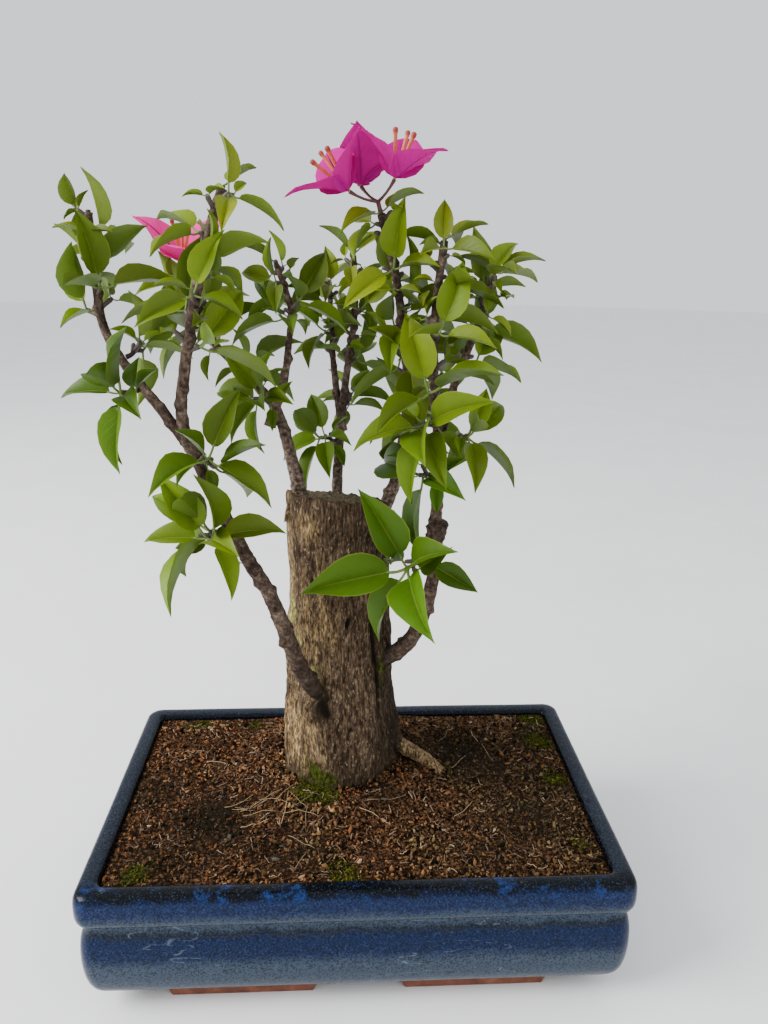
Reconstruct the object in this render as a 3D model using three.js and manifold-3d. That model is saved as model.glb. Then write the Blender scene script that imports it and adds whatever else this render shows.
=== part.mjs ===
// A bougainvillea bonsai in its glazed tray pot. Millimetres, +Z up, front towards -Y.
// The origin lies on the ground under the middle of the pot.
import * as THREE from 'three';
import { mergeVertices } from 'three/addons/utils/BufferGeometryUtils.js';
import Module from 'manifold-3d';

const wasm = await Module();
wasm.setup();

// Gap between pieces that touch on the real plant
const FIT = 0.3;

// Pot
const POT_WIDTH = 240;
const POT_DEPTH = 148;
const POT_HEIGHT = 63;
const POT_CORNER = 7;
const POT_CORNER_STEPS = 3;
const CORNER_SHRINK = 0.3;
const POT_WALL = 9.5;
const POT_FLOOR = 15;
const LIP_HEIGHT = 17;
const FOOT_HEIGHT = 7;
const FOOT_LENGTH = 69;
const FOOT_DEPTH = 13;
const FOOT_SLANT = 3;
const FOOT_CENTRE = 52;
const FOOT_INSET = 10.5;

// Soil
const SOIL_EDGE = 60;
const SOIL_OPEN = 61.2;
const SOIL_TOP = 68.5;
const SOIL_RINGS = 6;
const SOIL_STEP = 17;
const SOIL_MARGIN = 14;
const MOUND_RADIUS = 34;
const MOUND_FOOT = 62;
const LUMP_HEIGHT = 1.5;
const LUMP_LENGTH = 7.6;
const LUMP_SKEW = [19, 23];

// Trunk
const TRUNK_SIDES = 30;
const TRUNK_LEVELS = 12;
const TRUNK_FOOT = new THREE.Vector2(-8, 18);
const TRUNK_LEAN = new THREE.Vector2(-1.7, 0);
const TRUNK_BASE = SOIL_TOP + FIT;
const TRUNK_HEIGHT = 139.5;
const TRUNK_CUT_SLOPE = new THREE.Vector2(-0.11, -0.2);
const TRUNK_TAPER = [[0, 30], [6, 29], [26, 27.4], [54, 25], [86, 23.5], [139.5, 23.2]];
const TRUNK_WAIST = 25;
const FLARE_LOBES = 5;
const FLARE_DEPTH = 0.06;
const FLARE_HEIGHT = 22;
const RIBS = [{ count: 6, high: 0.75, twist: 40, start: 0 }, { count: 3, high: 0.6, twist: -19, start: 1 }];
const ROLL_HEIGHT = 0.5;
const ROLL_LENGTH = 8.6;
const COLLARS = [{ angle: -112, height: 40 }, { angle: -27, height: 57 }];
const COLLAR_SWELL = 2.4;
const COLLAR_WIDE = 0.32;
const COLLAR_TALL = 11;

// Boughs and twigs
const BOUGH_SIDES = 7;
const STEM_SIDES = 5;
const TWIG_SIDES = 3;
const RING_STEP = 11;
const CURVE_STEPS = 8;
const TAPER_POWER = 1.7;
const SHOOT_ROOT = 1.1;
const SHOOT_TIP = 0.8;
const SHOOT_COLLAR = 2.5;
const SPUR_ROOT = 1.3;
const SPUR_KNOB = 2;
const PETIOLE_RADIUS = 0.5;

// Spurs and leaves: lengths of a leaf's parts are shares of its length, and angles are in degrees
const LEAF_WIDTH = 0.62;
const LEAF_THICK = 0.02;
const LEAF_FOLD = 24;
const LEAF_STATIONS = [0.4];
const BRACT_STATIONS = [0.25, 0.65];
const PETIOLE_LENGTH = 0.2;
const LEAF_LEAN = [40, 78];
const LEAF_ROLL = [-25, 25];
const LEAF_DROOP = [8, 40];
const LEAF_SCALE = [0.72, 1.1];
const LEAF_SAG = [-0.15, 0.15];
const WHORL_JITTER = [-0.35, 0.35];
const GOLDEN_ANGLE = 137.5;
const TURN_JITTER = [-0.3, 0.3];
const SPUR_PLACE = [0.1, 0.7];
const SPUR_LENGTH = [1.5, 5];
const SPUR_OUT = 0.82;
const SPUR_ONWARD = 0.57;
const FACE_OUT = 0.55;
const FACE_UP = 0.6;
const TIP_SHRINK = 0.35;
const SHOOT_SHRINK = 0.15;
const TRIES = 4;

// Room that a leaf keeps
const CLEAR_SPRAY = 4;
const CLEAR_OWN = 1.8;
const CLEAR_LIMB = 1.5;
const REACH = new THREE.Vector3(119, 71.5, 366.5);
const SAMPLE_ALONG = [0.1, 0.3, 0.5, 0.7, 0.92];
const SAMPLE_ACROSS = [-0.85, -0.42, 0, 0.42, 0.85];
const SAMPLE_STALK = [0.5, 1];

// Blossom
const BRACT_LENGTH = 27;
const BRACT_WIDTH = 0.74;
const BRACT_LEAN = 38;
const BRACT_CURL = 30;
const BRACT_FOLD = 12;
const BRACTS = 3;
const TUBE_LENGTH = 19;
const TUBE_RADIUS = 1;
const TUBE_LEAN = 14;
const STALK_RADIUS = 0.8;
const STALK_START = 2.6;

// Limbs: points from the root to the furthest tip, radii at both ends, and the share that is bare.
// The bare share is the bough, and the rest is the stem of the foliage at its tip.
const LIMBS = [
  { name: 'lower_left', parent: 'trunk', root: 4.4, tip: 1.9, bare: 0.72, through: [
    [-17, -2, 113], [-27, -12, 136], [-38, -18, 172], [-48, -22, 194], [-63, -25, 230],
    [-70, -27, 252], [-67, -30, 275], [-61, -32, 302], [-57, -32, 318], [-50, -30, 338]] },
  { name: 'left_outer', parent: 'lower_left', root: 2.3, tip: 1.6, bare: 0.56, through: [
    [-69, -26, 244], [-81, -22, 259], [-92, -18, 272], [-101, -14, 288], [-103, -12, 307],
    [-104, -10, 330]] },
  { name: 'top_left', parent: 'trunk', root: 3.8, tip: 1.4, bare: 0.68, through: [
    [-25, 14, 203], [-31, 12, 232], [-37, 14, 251], [-50, 18, 265], [-64, 24, 278], [-72, 27, 293],
    [-76, 28, 306]] },
  { name: 'riser', parent: 'top_left', root: 2.2, tip: 1.2, bare: 0.5, through: [
    [-37, 14, 250], [-33, 18, 262], [-31, 22, 277], [-30, 25, 294], [-36, 27, 312]] },
  { name: 'middle', parent: 'trunk', root: 3, tip: 1.4, bare: 0.55, through: [
    [-10, 36, 196], [-9, 42, 222], [-7, 45, 244], [-5, 42, 262], [-2, 38, 283], [-1, 36, 299],
    [-2, 34, 316]] },
  { name: 'middle_left', parent: 'middle', root: 1.9, tip: 1.2, bare: 0.4, through: [
    [-8, 45, 242], [-11, 48, 263], [-12, 50, 282], [-13, 51, 304]] },
  { name: 'top_right', parent: 'trunk', root: 3.6, tip: 1.7, bare: 0.46, through: [
    [8, 26, 190], [18, 31, 210], [22, 32, 232], [24, 30, 254], [21, 24, 278], [16, 14, 308], [9, 6, 332]] },
  { name: 'lower_right', parent: 'trunk', root: 4.2, tip: 1.7, bare: 0.66, through: [
    [11, 8, 128], [24, 2, 140], [31, -4, 160], [34, -8, 181], [34, -10, 206], [34, -8, 238],
    [32, -8, 258], [31, -6, 279], [32, -2, 299], [35, 3, 322]] },
  { name: 'right_outer', parent: 'lower_right', root: 2.3, tip: 1.5, bare: 0.4, through: [
    [34, -8, 236], [39, 1, 256], [47, 8, 276], [53, 11, 292], [58, 13, 309]] },
];

// A root that runs out over the soil, and two stubs of old boughs near the cut top
const SURFACE_ROOT = [[12, 14, 80], [22, 13, 76], [31, 12, 71], [39, 10, 65.5], [43.5, 8, 62.5]];
const ROOT_RADII = [3.8, 2.9];
const STUBS = [
  { from: [-24, 14, 200], to: [-35, 13, 203], root: 4.5, tip: 3 },
  { from: [8, 14, 197], to: [17.5, 12, 199], root: 4.5, tip: 3 },
];

// Sprays at the limbs' tips: spurs along the stem, leaves on a spur, leaves round the tip, leaf length
const TIP_SPRAYS = [
  { name: 'left_outer', limb: 'left_outer', spurs: 6, leaves: 3, tuft: 5, leaf: 27, seed: 38, turn: 180 },
  { name: 'left_inner', limb: 'lower_left', spurs: 6, leaves: 3, tuft: 2, leaf: 27, seed: 14, turn: 0 },
  { name: 'top_left', limb: 'top_left', spurs: 5, leaves: 3, tuft: 3, leaf: 26, seed: 60, turn: 90 },
  { name: 'riser', limb: 'riser', spurs: 5, leaves: 3, tuft: 4, leaf: 26, seed: 31, turn: 200 },
  { name: 'middle_left', limb: 'middle_left', spurs: 5, leaves: 3, tuft: 4, leaf: 24, seed: 79, turn: 90 },
  { name: 'middle', limb: 'middle', spurs: 5, leaves: 3, tuft: 3, leaf: 24, seed: 51, turn: 40 },
  { name: 'top_right', limb: 'top_right', spurs: 9, leaves: 3, tuft: 6, leaf: 32, seed: 73, turn: 150 },
  { name: 'right_inner', limb: 'lower_right', spurs: 9, leaves: 3, tuft: 6, leaf: 29, seed: 55, turn: 250 },
  { name: 'right_outer', limb: 'right_outer', spurs: 8, leaves: 3, tuft: 5, leaf: 30, seed: 41, turn: 0 },
];

// Sprays on short shoots: the place is a share of the limb's length, and the shoot turns and rises from it
const SIDE_SPRAYS = [
  { name: 'left_fork', limb: 'left_outer', place: 0.28, toward: 225, length: 8, rise: 15,
    spurs: 1, leaves: 3, tuft: 4, leaf: 33, seed: 32, turn: 190 },
  { name: 'left_rise', limb: 'left_outer', place: 0.42, toward: 20, length: 6, rise: 25,
    spurs: 1, leaves: 2, tuft: 3, leaf: 26, seed: 52, turn: 60 },
  { name: 'lower_left', limb: 'lower_left', place: 0.44, toward: 235, length: 10, rise: 10,
    spurs: 2, leaves: 4, tuft: 5, leaf: 33, seed: 68, turn: 200 },
  { name: 'fork_right', limb: 'lower_left', place: 0.56, toward: 310, length: 6, rise: 20,
    spurs: 1, leaves: 3, tuft: 4, leaf: 30, seed: 16, turn: 320 },
  { name: 'top_left_low', limb: 'top_left', place: 0.45, toward: 260, length: 8, rise: 20,
    spurs: 1, leaves: 3, tuft: 4, leaf: 26, seed: 7, turn: 230 },
  { name: 'top_left_mid', limb: 'top_left', place: 0.6, toward: 90, length: 8, rise: 30,
    spurs: 1, leaves: 3, tuft: 3, leaf: 25, seed: 42, turn: 90 },
  { name: 'middle_low', limb: 'middle', place: 0.28, toward: 230, length: 8, rise: 20,
    spurs: 1, leaves: 3, tuft: 4, leaf: 24, seed: 11, turn: 180 },
  { name: 'middle_back', limb: 'middle', place: 0.42, toward: 70, length: 8, rise: 25,
    spurs: 1, leaves: 3, tuft: 4, leaf: 24, seed: 12, turn: 70 },
  { name: 'back_right', limb: 'top_right', place: 0.36, toward: 60, length: 10, rise: 20,
    spurs: 2, leaves: 3, tuft: 4, leaf: 27, seed: 14, turn: 60 },
  { name: 'right_front', limb: 'lower_right', place: 0.64, toward: 240, length: 10, rise: 10,
    spurs: 1, leaves: 3, tuft: 5, leaf: 33, seed: 47, turn: 220 },
  { name: 'right_low', limb: 'lower_right', place: 0.53, toward: 235, length: 10, rise: 5,
    spurs: 1, leaves: 3, tuft: 4, leaf: 35, seed: 66, turn: 200 },
  { name: 'right_side', limb: 'lower_right', place: 0.6, toward: 335, length: 10, rise: 15,
    spurs: 1, leaves: 3, tuft: 4, leaf: 30, seed: 73, turn: 0 },
  { name: 'lower_right', limb: 'lower_right', place: 0.35, toward: 232, length: 18, rise: 5,
    spurs: 1, leaves: 1, tuft: 5, leaf: 44, seed: 14, turn: 240 },
];

// Blossoms at two tips: each flower has the foot of its bracts, its axis, and the turn of the first bract
const BLOOMS = [
  { name: 'bloom_top', limb: 'top_right', flowers: [
    { foot: [-4, 0, 340], axis: [-0.65, -0.15, 0.74], turn: 40 },
    { foot: [1, 14, 343], axis: [0.05, 0.35, 0.94], turn: 90 },
    { foot: [14, 2, 345], axis: [0.22, -0.15, 0.95], turn: 20 }] },
  { name: 'bloom_left', limb: 'top_left', flowers: [
    { foot: [-76, 25, 312], axis: [0.1, -0.4, 0.9], turn: 30 }] },
];

// Colours, roughness and metalness of the finishes
const GLAZE = { color: 0x24365c, roughness: 0.25, metalness: 0 };
const BISCUIT = { color: 0x9a4a2c, roughness: 0.85, metalness: 0 };
const EARTH = { color: 0x5a3423, roughness: 0.95, metalness: 0 };
const OLD_BARK = { color: 0x6e5f50, roughness: 0.9, metalness: 0 };
const YOUNG_BARK = { color: 0x57453c, roughness: 0.85, metalness: 0 };
const LEAF_GREEN = { color: 0x5f8a1e, roughness: 0.55, metalness: 0 };
const BRACT_PINK = { color: 0xc8239b, roughness: 0.6, metalness: 0 };

const UP = new THREE.Vector3(0, 0, 1);
const rad = THREE.MathUtils.degToRad;
const vec = (list) => new THREE.Vector3(...list);
const plant = new THREE.Group();

// A closed skin through rings of equal count: a lathe whose points are moved onto the rings
function loft(rings) {
  const sides = rings[0].length;
  const rows = rings.map((ring, row) => new THREE.Vector2(1, row));
  const geometry = new THREE.LatheGeometry(rows, sides);
  const position = geometry.attributes.position;
  for (let side = 0; side <= sides; side += 1) {
    rings.forEach((ring, row) => {
      const point = ring[side % sides];
      position.setXYZ(side * rings.length + row, point.x, point.y, point.z);
    });
  }
  return geometry;
}

// A ring drawn together to one point closes the end of a loft
function pole(point, sides) {
  return Array(sides).fill(point);
}

// A solid for joining and cutting, with shared points merged and flat triangles left out
function solid(geometry) {
  geometry.deleteAttribute('normal');
  geometry.deleteAttribute('uv');
  const merged = mergeVertices(geometry);
  const corners = merged.index.array;
  const kept = [];
  for (let i = 0; i < corners.length; i += 3) {
    const [a, b, c] = corners.slice(i, i + 3);
    if (a !== b && b !== c && c !== a) kept.push(a, b, c);
  }
  return new wasm.Manifold(new wasm.Mesh({
    numProp: 3,
    vertProperties: merged.attributes.position.array,
    triVerts: Uint32Array.from(kept),
  }));
}

function joined(solids) {
  return solids.reduce((whole, piece) => whole.add(piece));
}

function addPiece(name, piece, finish) {
  const mesh = piece.getMesh();
  const geometry = new THREE.BufferGeometry();
  geometry.setAttribute('position', new THREE.BufferAttribute(mesh.vertProperties, 3));
  geometry.setIndex(new THREE.BufferAttribute(mesh.triVerts, 1));
  geometry.computeVertexNormals();
  const node = new THREE.Mesh(geometry, new THREE.MeshStandardMaterial(finish));
  node.name = name;
  plant.add(node);
}

// Pot: rounded rectangles, each inset from the lip's outline, stacked from the underside to the inner floor
function trayRing(inset, z) {
  const radius = POT_CORNER - inset * CORNER_SHRINK;
  const ring = [];
  [[1, 1], [-1, 1], [-1, -1], [1, -1]].forEach(([signX, signY], corner) => {
    for (let step = 0; step <= POT_CORNER_STEPS; step += 1) {
      const angle = (Math.PI / 2) * (corner + step / POT_CORNER_STEPS);
      ring.push(new THREE.Vector3(
        signX * (POT_WIDTH / 2 - inset - radius) + radius * Math.cos(angle),
        signY * (POT_DEPTH / 2 - inset - radius) + radius * Math.sin(angle),
        z,
      ));
    }
  });
  return ring;
}

const TRAY_SIDES = 4 * (POT_CORNER_STEPS + 1);
const centre = (z) => pole(new THREE.Vector3(0, 0, z), TRAY_SIDES);

function makePot() {
  const lipFoot = POT_HEIGHT - LIP_HEIGHT;
  const profile = [
    [FOOT_INSET, FOOT_HEIGHT], [6.2, 8.9], [3.1, 13], [1.3, 19.5], [0.7, 29], [1.3, 38.5], [3, lipFoot - 1.8],
    [3.2, lipFoot], [0.9, lipFoot + 2], [0, lipFoot + 4.5], [0, POT_HEIGHT - 3.5],
    [1, POT_HEIGHT - 0.9], [3.2, POT_HEIGHT], [POT_WALL - 1.2, POT_HEIGHT], [POT_WALL, POT_HEIGHT - 1.2],
    [POT_WALL, POT_FLOOR],
  ];
  const walls = profile.map(([inset, z]) => trayRing(inset, z));
  addPiece('pot', solid(loft([centre(FOOT_HEIGHT), ...walls, centre(POT_FLOOR)])), GLAZE);
}

// Feet: bare strips with slanted ends, two along each long side
function makeFeet() {
  const top = FOOT_HEIGHT - FIT;
  const half = FOOT_LENGTH / 2;
  const outline = new THREE.Shape([
    new THREE.Vector2(-half + FOOT_SLANT, 0), new THREE.Vector2(half - FOOT_SLANT, 0),
    new THREE.Vector2(half, top), new THREE.Vector2(-half, top),
  ]);
  [['front', -1], ['back', 1]].forEach(([row, signY]) => {
    [['left', -1], ['right', 1]].forEach(([end, signX]) => {
      const strip = new THREE.ExtrudeGeometry(outline, { depth: FOOT_DEPTH, bevelEnabled: false });
      strip.translate(0, 0, -FOOT_DEPTH / 2);
      strip.rotateX(Math.PI / 2);
      strip.translate(signX * FOOT_CENTRE, signY * (POT_DEPTH / 2 - FOOT_INSET - FOOT_DEPTH / 2), 0);
      addPiece(`foot_${row}_${end}`, solid(strip), BISCUIT);
    });
  });
}

// Paths: a smooth curve through a limb's points, measured along its length
class Path {
  constructor(points, root, tip) {
    const curve = new THREE.CatmullRomCurve3(points, false, 'catmullrom', 0.5);
    this.points = curve.getPoints(CURVE_STEPS * (points.length - 1));
    this.run = [0];
    for (let i = 1; i < this.points.length; i += 1) {
      this.run.push(this.run[i - 1] + this.points[i].distanceTo(this.points[i - 1]));
    }
    this.length = this.run.at(-1);
    this.root = root;
    this.tip = tip;
  }

  at(distance) {
    const next = this.run.findIndex((run, i) => i > 0 && run >= distance);
    const end = next < 0 ? this.run.length - 1 : next;
    const share = (distance - this.run[end - 1]) / (this.run[end] - this.run[end - 1]);
    return this.points[end - 1].clone().lerp(this.points[end], THREE.MathUtils.clamp(share, 0, 1));
  }

  along(distance) {
    const ahead = this.at(Math.min(distance + 1.5, this.length));
    return ahead.sub(this.at(Math.max(distance - 1.5, 0))).normalize();
  }

  radius(distance) {
    const left = Math.max(0, 1 - distance / this.length);
    return this.tip + (this.root - this.tip) * left ** TAPER_POWER;
  }
}

// Two directions square to an axis and to each other
function squareTo(axis) {
  const level = new THREE.Vector3().crossVectors(UP, axis);
  if (level.lengthSq() < 1e-6) level.set(1, 0, 0);
  level.normalize();
  return [level, new THREE.Vector3().crossVectors(axis, level)];
}

// A tapering limb along a stretch of a path, with extra thickness where it is used to cut a neighbour
function limbSolid(path, from, to, sides, extra = 0) {
  const count = Math.max(1, Math.round((to - from) / RING_STEP));
  const rings = [pole(path.at(from), sides)];
  let [level] = squareTo(path.along(from));
  for (let k = 0; k <= count; k += 1) {
    const distance = from + ((to - from) * k) / count;
    const along = path.along(distance);
    level = level.clone().addScaledVector(along, -level.dot(along)).normalize();
    const rise = new THREE.Vector3().crossVectors(along, level);
    const radius = path.radius(distance) + extra;
    rings.push(Array.from({ length: sides }, (_, i) => {
      const angle = (2 * Math.PI * i) / sides;
      return path.at(distance)
        .addScaledVector(level, radius * Math.cos(angle))
        .addScaledVector(rise, radius * Math.sin(angle));
    }));
  }
  rings.push(pole(path.at(to), sides));
  return solid(loft(rings));
}

function straight(from, to, rootRadius, tipRadius, sides) {
  const path = new Path([from, to], rootRadius, tipRadius);
  return limbSolid(path, 0, path.length, sides);
}

// Trunk: rings that taper from a lobed root flare, with the top cut along a sloping plane
function trunkRadius(height) {
  const above = TRUNK_TAPER.findIndex(([level]) => level >= height);
  const [topLevel, topRadius] = TRUNK_TAPER[above];
  if (above === 0) return topRadius;
  const [lowLevel, lowRadius] = TRUNK_TAPER[above - 1];
  return THREE.MathUtils.mapLinear(height, lowLevel, topLevel, lowRadius, topRadius);
}

// Slow ribs and rolls of the trunk's skin, and the collars where the two low limbs leave it
function trunkSwell(angle, height) {
  const ribs = RIBS.map((rib) => rib.high * Math.sin(rib.count * angle + height / rib.twist + rib.start));
  const rolls = ROLL_HEIGHT * Math.sin(height / ROLL_LENGTH + 2 * Math.sin(angle));
  const collars = COLLARS.map((collar) => {
    const turn = Math.atan2(Math.sin(angle - rad(collar.angle)), Math.cos(angle - rad(collar.angle)));
    return Math.exp(-((turn / COLLAR_WIDE) ** 2) - ((height - collar.height) / COLLAR_TALL) ** 2);
  });
  return ribs.reduce((sum, rib) => sum + rib, rolls) + COLLAR_SWELL * Math.max(...collars);
}

function trunkRing(height, extra) {
  const share = height / TRUNK_HEIGHT;
  const lobe = FLARE_DEPTH * Math.exp(-height / FLARE_HEIGHT);
  const isTop = height === TRUNK_HEIGHT;
  return Array.from({ length: TRUNK_SIDES }, (_, i) => {
    const angle = (2 * Math.PI * i) / TRUNK_SIDES;
    const flare = trunkRadius(height) * (1 + lobe * Math.cos(FLARE_LOBES * angle));
    const radius = flare + trunkSwell(angle, height) + extra;
    const x = radius * Math.cos(angle);
    const y = radius * Math.sin(angle);
    const cut = isTop ? TRUNK_CUT_SLOPE.x * x + TRUNK_CUT_SLOPE.y * y + extra : 0;
    return new THREE.Vector3(
      TRUNK_FOOT.x + TRUNK_LEAN.x * share + x,
      TRUNK_FOOT.y + TRUNK_LEAN.y * share + y,
      TRUNK_BASE + height + cut,
    );
  });
}

function trunkSolid(extra) {
  const levels = Array.from({ length: TRUNK_LEVELS + 1 }, (_, i) => (TRUNK_HEIGHT * i) / TRUNK_LEVELS);
  const rings = levels.map((height) => trunkRing(height, extra));
  const foot = new THREE.Vector3(TRUNK_FOOT.x, TRUNK_FOOT.y, TRUNK_BASE);
  const top = new THREE.Vector3(
    TRUNK_FOOT.x + TRUNK_LEAN.x, TRUNK_FOOT.y + TRUNK_LEAN.y, TRUNK_BASE + TRUNK_HEIGHT + extra,
  );
  return solid(loft([pole(foot, TRUNK_SIDES), ...rings, pole(top, TRUNK_SIDES)]));
}

function surfaceRoot(extra) {
  const path = new Path(SURFACE_ROOT.map(vec), ...ROOT_RADII);
  return limbSolid(path, 0, path.length, BOUGH_SIDES, extra);
}

function makeTrunk() {
  const stubs = STUBS.map((stub) => straight(vec(stub.from), vec(stub.to), stub.root, stub.tip, BOUGH_SIDES));
  addPiece('trunk', joined([trunkSolid(0), surfaceRoot(0), ...stubs]), OLD_BARK);
}

// Soil: lumpy in the open, it rises to a flat mound under the trunk and has a furrow for the surface root
function soilHeight(x, y) {
  const { smoothstep } = THREE.MathUtils;
  const away = Math.hypot(x - TRUNK_FOOT.x, y - TRUNK_FOOT.y);
  const rise = 1 - smoothstep(away, MOUND_RADIUS, MOUND_FOOT);
  const wall = Math.min(POT_WIDTH / 2 - Math.abs(x), POT_DEPTH / 2 - Math.abs(y)) - POT_WALL;
  const open = smoothstep(wall, 0, SOIL_MARGIN);
  const [skewX, skewY] = LUMP_SKEW;
  const lumps = Math.sin(x / LUMP_LENGTH + y / skewX) * Math.cos(y / LUMP_LENGTH - x / skewY);
  const level = SOIL_EDGE + (SOIL_OPEN - SOIL_EDGE + LUMP_HEIGHT * lumps) * open;
  return level + (SOIL_TOP - level) * rise;
}

// An outline with more points along its long stretches
function subdivided(ring, longest) {
  return ring.flatMap((point, i) => {
    const next = ring[(i + 1) % ring.length];
    const steps = Math.ceil(point.distanceTo(next) / longest);
    return Array.from({ length: steps }, (_, step) => point.clone().lerp(next, step / steps));
  });
}

function makeSoil() {
  const floor = POT_FLOOR + FIT;
  const base = subdivided(trayRing(POT_WALL + FIT, floor), SOIL_STEP);
  const mound = base.map((point) => {
    const angle = Math.atan2(point.y - TRUNK_FOOT.y, point.x - TRUNK_FOOT.x);
    return new THREE.Vector3(
      TRUNK_FOOT.x + MOUND_RADIUS * Math.cos(angle), TRUNK_FOOT.y + MOUND_RADIUS * Math.sin(angle), 0,
    );
  });
  const rings = Array.from({ length: SOIL_RINGS + 1 }, (_, row) => base.map((point, i) => {
    const { x, y } = point.clone().lerp(mound[i], row / SOIL_RINGS);
    return new THREE.Vector3(x, y, soilHeight(x, y));
  }));
  const bottom = pole(new THREE.Vector3(0, 0, floor), base.length);
  const top = pole(new THREE.Vector3(TRUNK_FOOT.x, TRUNK_FOOT.y, SOIL_TOP), base.length);
  addPiece('soil', solid(loft([bottom, base, ...rings, top])).subtract(surfaceRoot(FIT)), EARTH);
}

// Boughs: the bare share of each limb, cut clear of the trunk or limb that it grows from
function makeBoughs(limbs) {
  limbs.forEach((limb) => {
    const bough = limbSolid(limb.path, 0, limb.bare * limb.path.length, BOUGH_SIDES);
    const parent = limb.parent === 'trunk'
      ? trunkSolid(FIT)
      : limbSolid(limbs.get(limb.parent).path, 0, limbs.get(limb.parent).path.length, BOUGH_SIDES, FIT);
    addPiece(`bough_${limb.name}`, bough.subtract(parent), YOUNG_BARK);
  });
}

// Seeded numbers, the same in every run
function draws(seed) {
  let state = seed;
  const draw = (low, high) => {
    state = (state * 16807) % 2147483647;
    return low + ((high - low) * state) / 2147483647;
  };
  for (let i = 0; i < 4; i += 1) draw(0, 1);
  return draw;
}

// A blade's half width at a share of its length: ovate, with a drawn-out tip
function halfWidth(share) {
  return 3.28 * share ** 0.62 * (1 - share) ** 1.25;
}

// A point of a blade that droops along an arc and folds up along its midrib
function bladePoint(blade, along, across) {
  const bend = blade.droop * along;
  const half = (blade.width / 2) * halfWidth(along);
  const rise = Math.abs(across) * half * Math.sin(blade.fold);
  const forward = (blade.length * Math.sin(bend)) / blade.droop + rise * Math.sin(bend);
  const upward = (-blade.length * (1 - Math.cos(bend))) / blade.droop + rise * Math.cos(bend);
  return blade.base.clone()
    .addScaledVector(blade.forward, forward)
    .addScaledVector(blade.normal, upward)
    .addScaledVector(blade.side, across * half * Math.cos(blade.fold));
}

function bladeSamples(blade) {
  return SAMPLE_ALONG.flatMap((along) => SAMPLE_ACROSS.map((across) => bladePoint(blade, along, across)));
}

function stalkSamples(blade) {
  return SAMPLE_STALK.map((share) => blade.spur.clone().lerp(blade.base, share));
}

// The blade's side and normal for a direction, with the upper face turned to a given way and then rolled
function layBlade(forward, upper, roll) {
  const side = new THREE.Vector3().crossVectors(upper, forward).normalize();
  const normal = new THREE.Vector3().crossVectors(forward, side);
  return {
    side: side.clone().multiplyScalar(Math.cos(roll)).addScaledVector(normal, Math.sin(roll)),
    normal: normal.clone().multiplyScalar(Math.cos(roll)).addScaledVector(side, -Math.sin(roll)),
  };
}

// A leaf or bract: a stalk that starts inside its spur and widens into a thin lens of a blade
function leafSolid(blade) {
  const ring = (middle, bend, left, right, thick) => {
    const normal = blade.normal.clone().multiplyScalar(Math.cos(bend))
      .addScaledVector(blade.forward, Math.sin(bend));
    const lower = middle.clone().addScaledVector(normal, -thick);
    const upper = middle.clone().addScaledVector(normal, thick);
    return [left, lower, right, upper];
  };
  const stalkRing = (middle) => {
    const offset = blade.side.clone().multiplyScalar(PETIOLE_RADIUS);
    return ring(middle, 0, middle.clone().sub(offset), middle.clone().add(offset), PETIOLE_RADIUS);
  };
  const bladeRing = (along) => {
    const edges = [-1, 1].map((across) => bladePoint(blade, along, across));
    return ring(bladePoint(blade, along, 0), blade.droop * along, ...edges, (LEAF_THICK * blade.length) / 2);
  };
  const start = blade.spur.clone().addScaledVector(blade.forward, -PETIOLE_RADIUS / 2);
  const tip = bladePoint(blade, 1, 0);
  return solid(loft([
    pole(start, 4), stalkRing(start), stalkRing(blade.base), ...blade.stations.map(bladeRing), pole(tip, 4),
  ]));
}

// What is already in the crown: leaves, limbs and shoots that a new leaf has to clear
class Crown {
  constructor(paths) {
    this.limbs = paths.flatMap((path) => path.points.map((point, i) => ({
      point, room: (path.radius(path.run[i]) + CLEAR_LIMB) ** 2,
    })));
    this.taken = [];
  }

  isClear(samples, owner) {
    const hitsTrunk = (p) => p.z < TRUNK_BASE + TRUNK_HEIGHT + CLEAR_LIMB
      && Math.hypot(p.x - TRUNK_FOOT.x - TRUNK_LEAN.x, p.y - TRUNK_FOOT.y) < TRUNK_WAIST + CLEAR_LIMB;
    return samples.every((p) => Math.abs(p.x) <= REACH.x && Math.abs(p.y) <= REACH.y && p.z <= REACH.z
      && !hitsTrunk(p)
      && this.limbs.every((limb) => p.distanceToSquared(limb.point) >= limb.room))
      && this.isApart(samples, owner, CLEAR_OWN);
  }

  isApart(samples, owner, ownRoom) {
    return samples.every((p) => this.taken.every((other) => {
      const room = other.owner === owner ? Math.min(ownRoom, other.ownRoom) : CLEAR_SPRAY;
      return p.distanceToSquared(other.point) >= room * room;
    }));
  }

  take(points, owner, ownRoom) {
    points.forEach((point) => this.taken.push({ point, owner, ownRoom }));
  }
}

// One try at a leaf: it leans out from its spur, rises or sags a little, and droops
function tryLeaf(draw, spur, spin, size) {
  const around = spin + draw(...WHORL_JITTER);
  const lean = rad(draw(...LEAF_LEAN));
  const forward = spur.axis.clone().multiplyScalar(Math.cos(lean))
    .addScaledVector(spur.level, Math.sin(lean) * Math.cos(around))
    .addScaledVector(spur.rise, Math.sin(lean) * Math.sin(around));
  forward.addScaledVector(UP, -draw(...LEAF_SAG)).normalize();
  const roll = rad(draw(...LEAF_ROLL));
  const droop = rad(draw(...LEAF_DROOP));
  const length = size * draw(...LEAF_SCALE);
  return {
    ...layBlade(forward, spur.upper, roll),
    forward, droop, length, width: length * LEAF_WIDTH, fold: rad(LEAF_FOLD), stations: LEAF_STATIONS,
    spur: spur.tip,
    base: spur.tip.clone().addScaledVector(forward, PETIOLE_LENGTH * length),
  };
}

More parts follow.
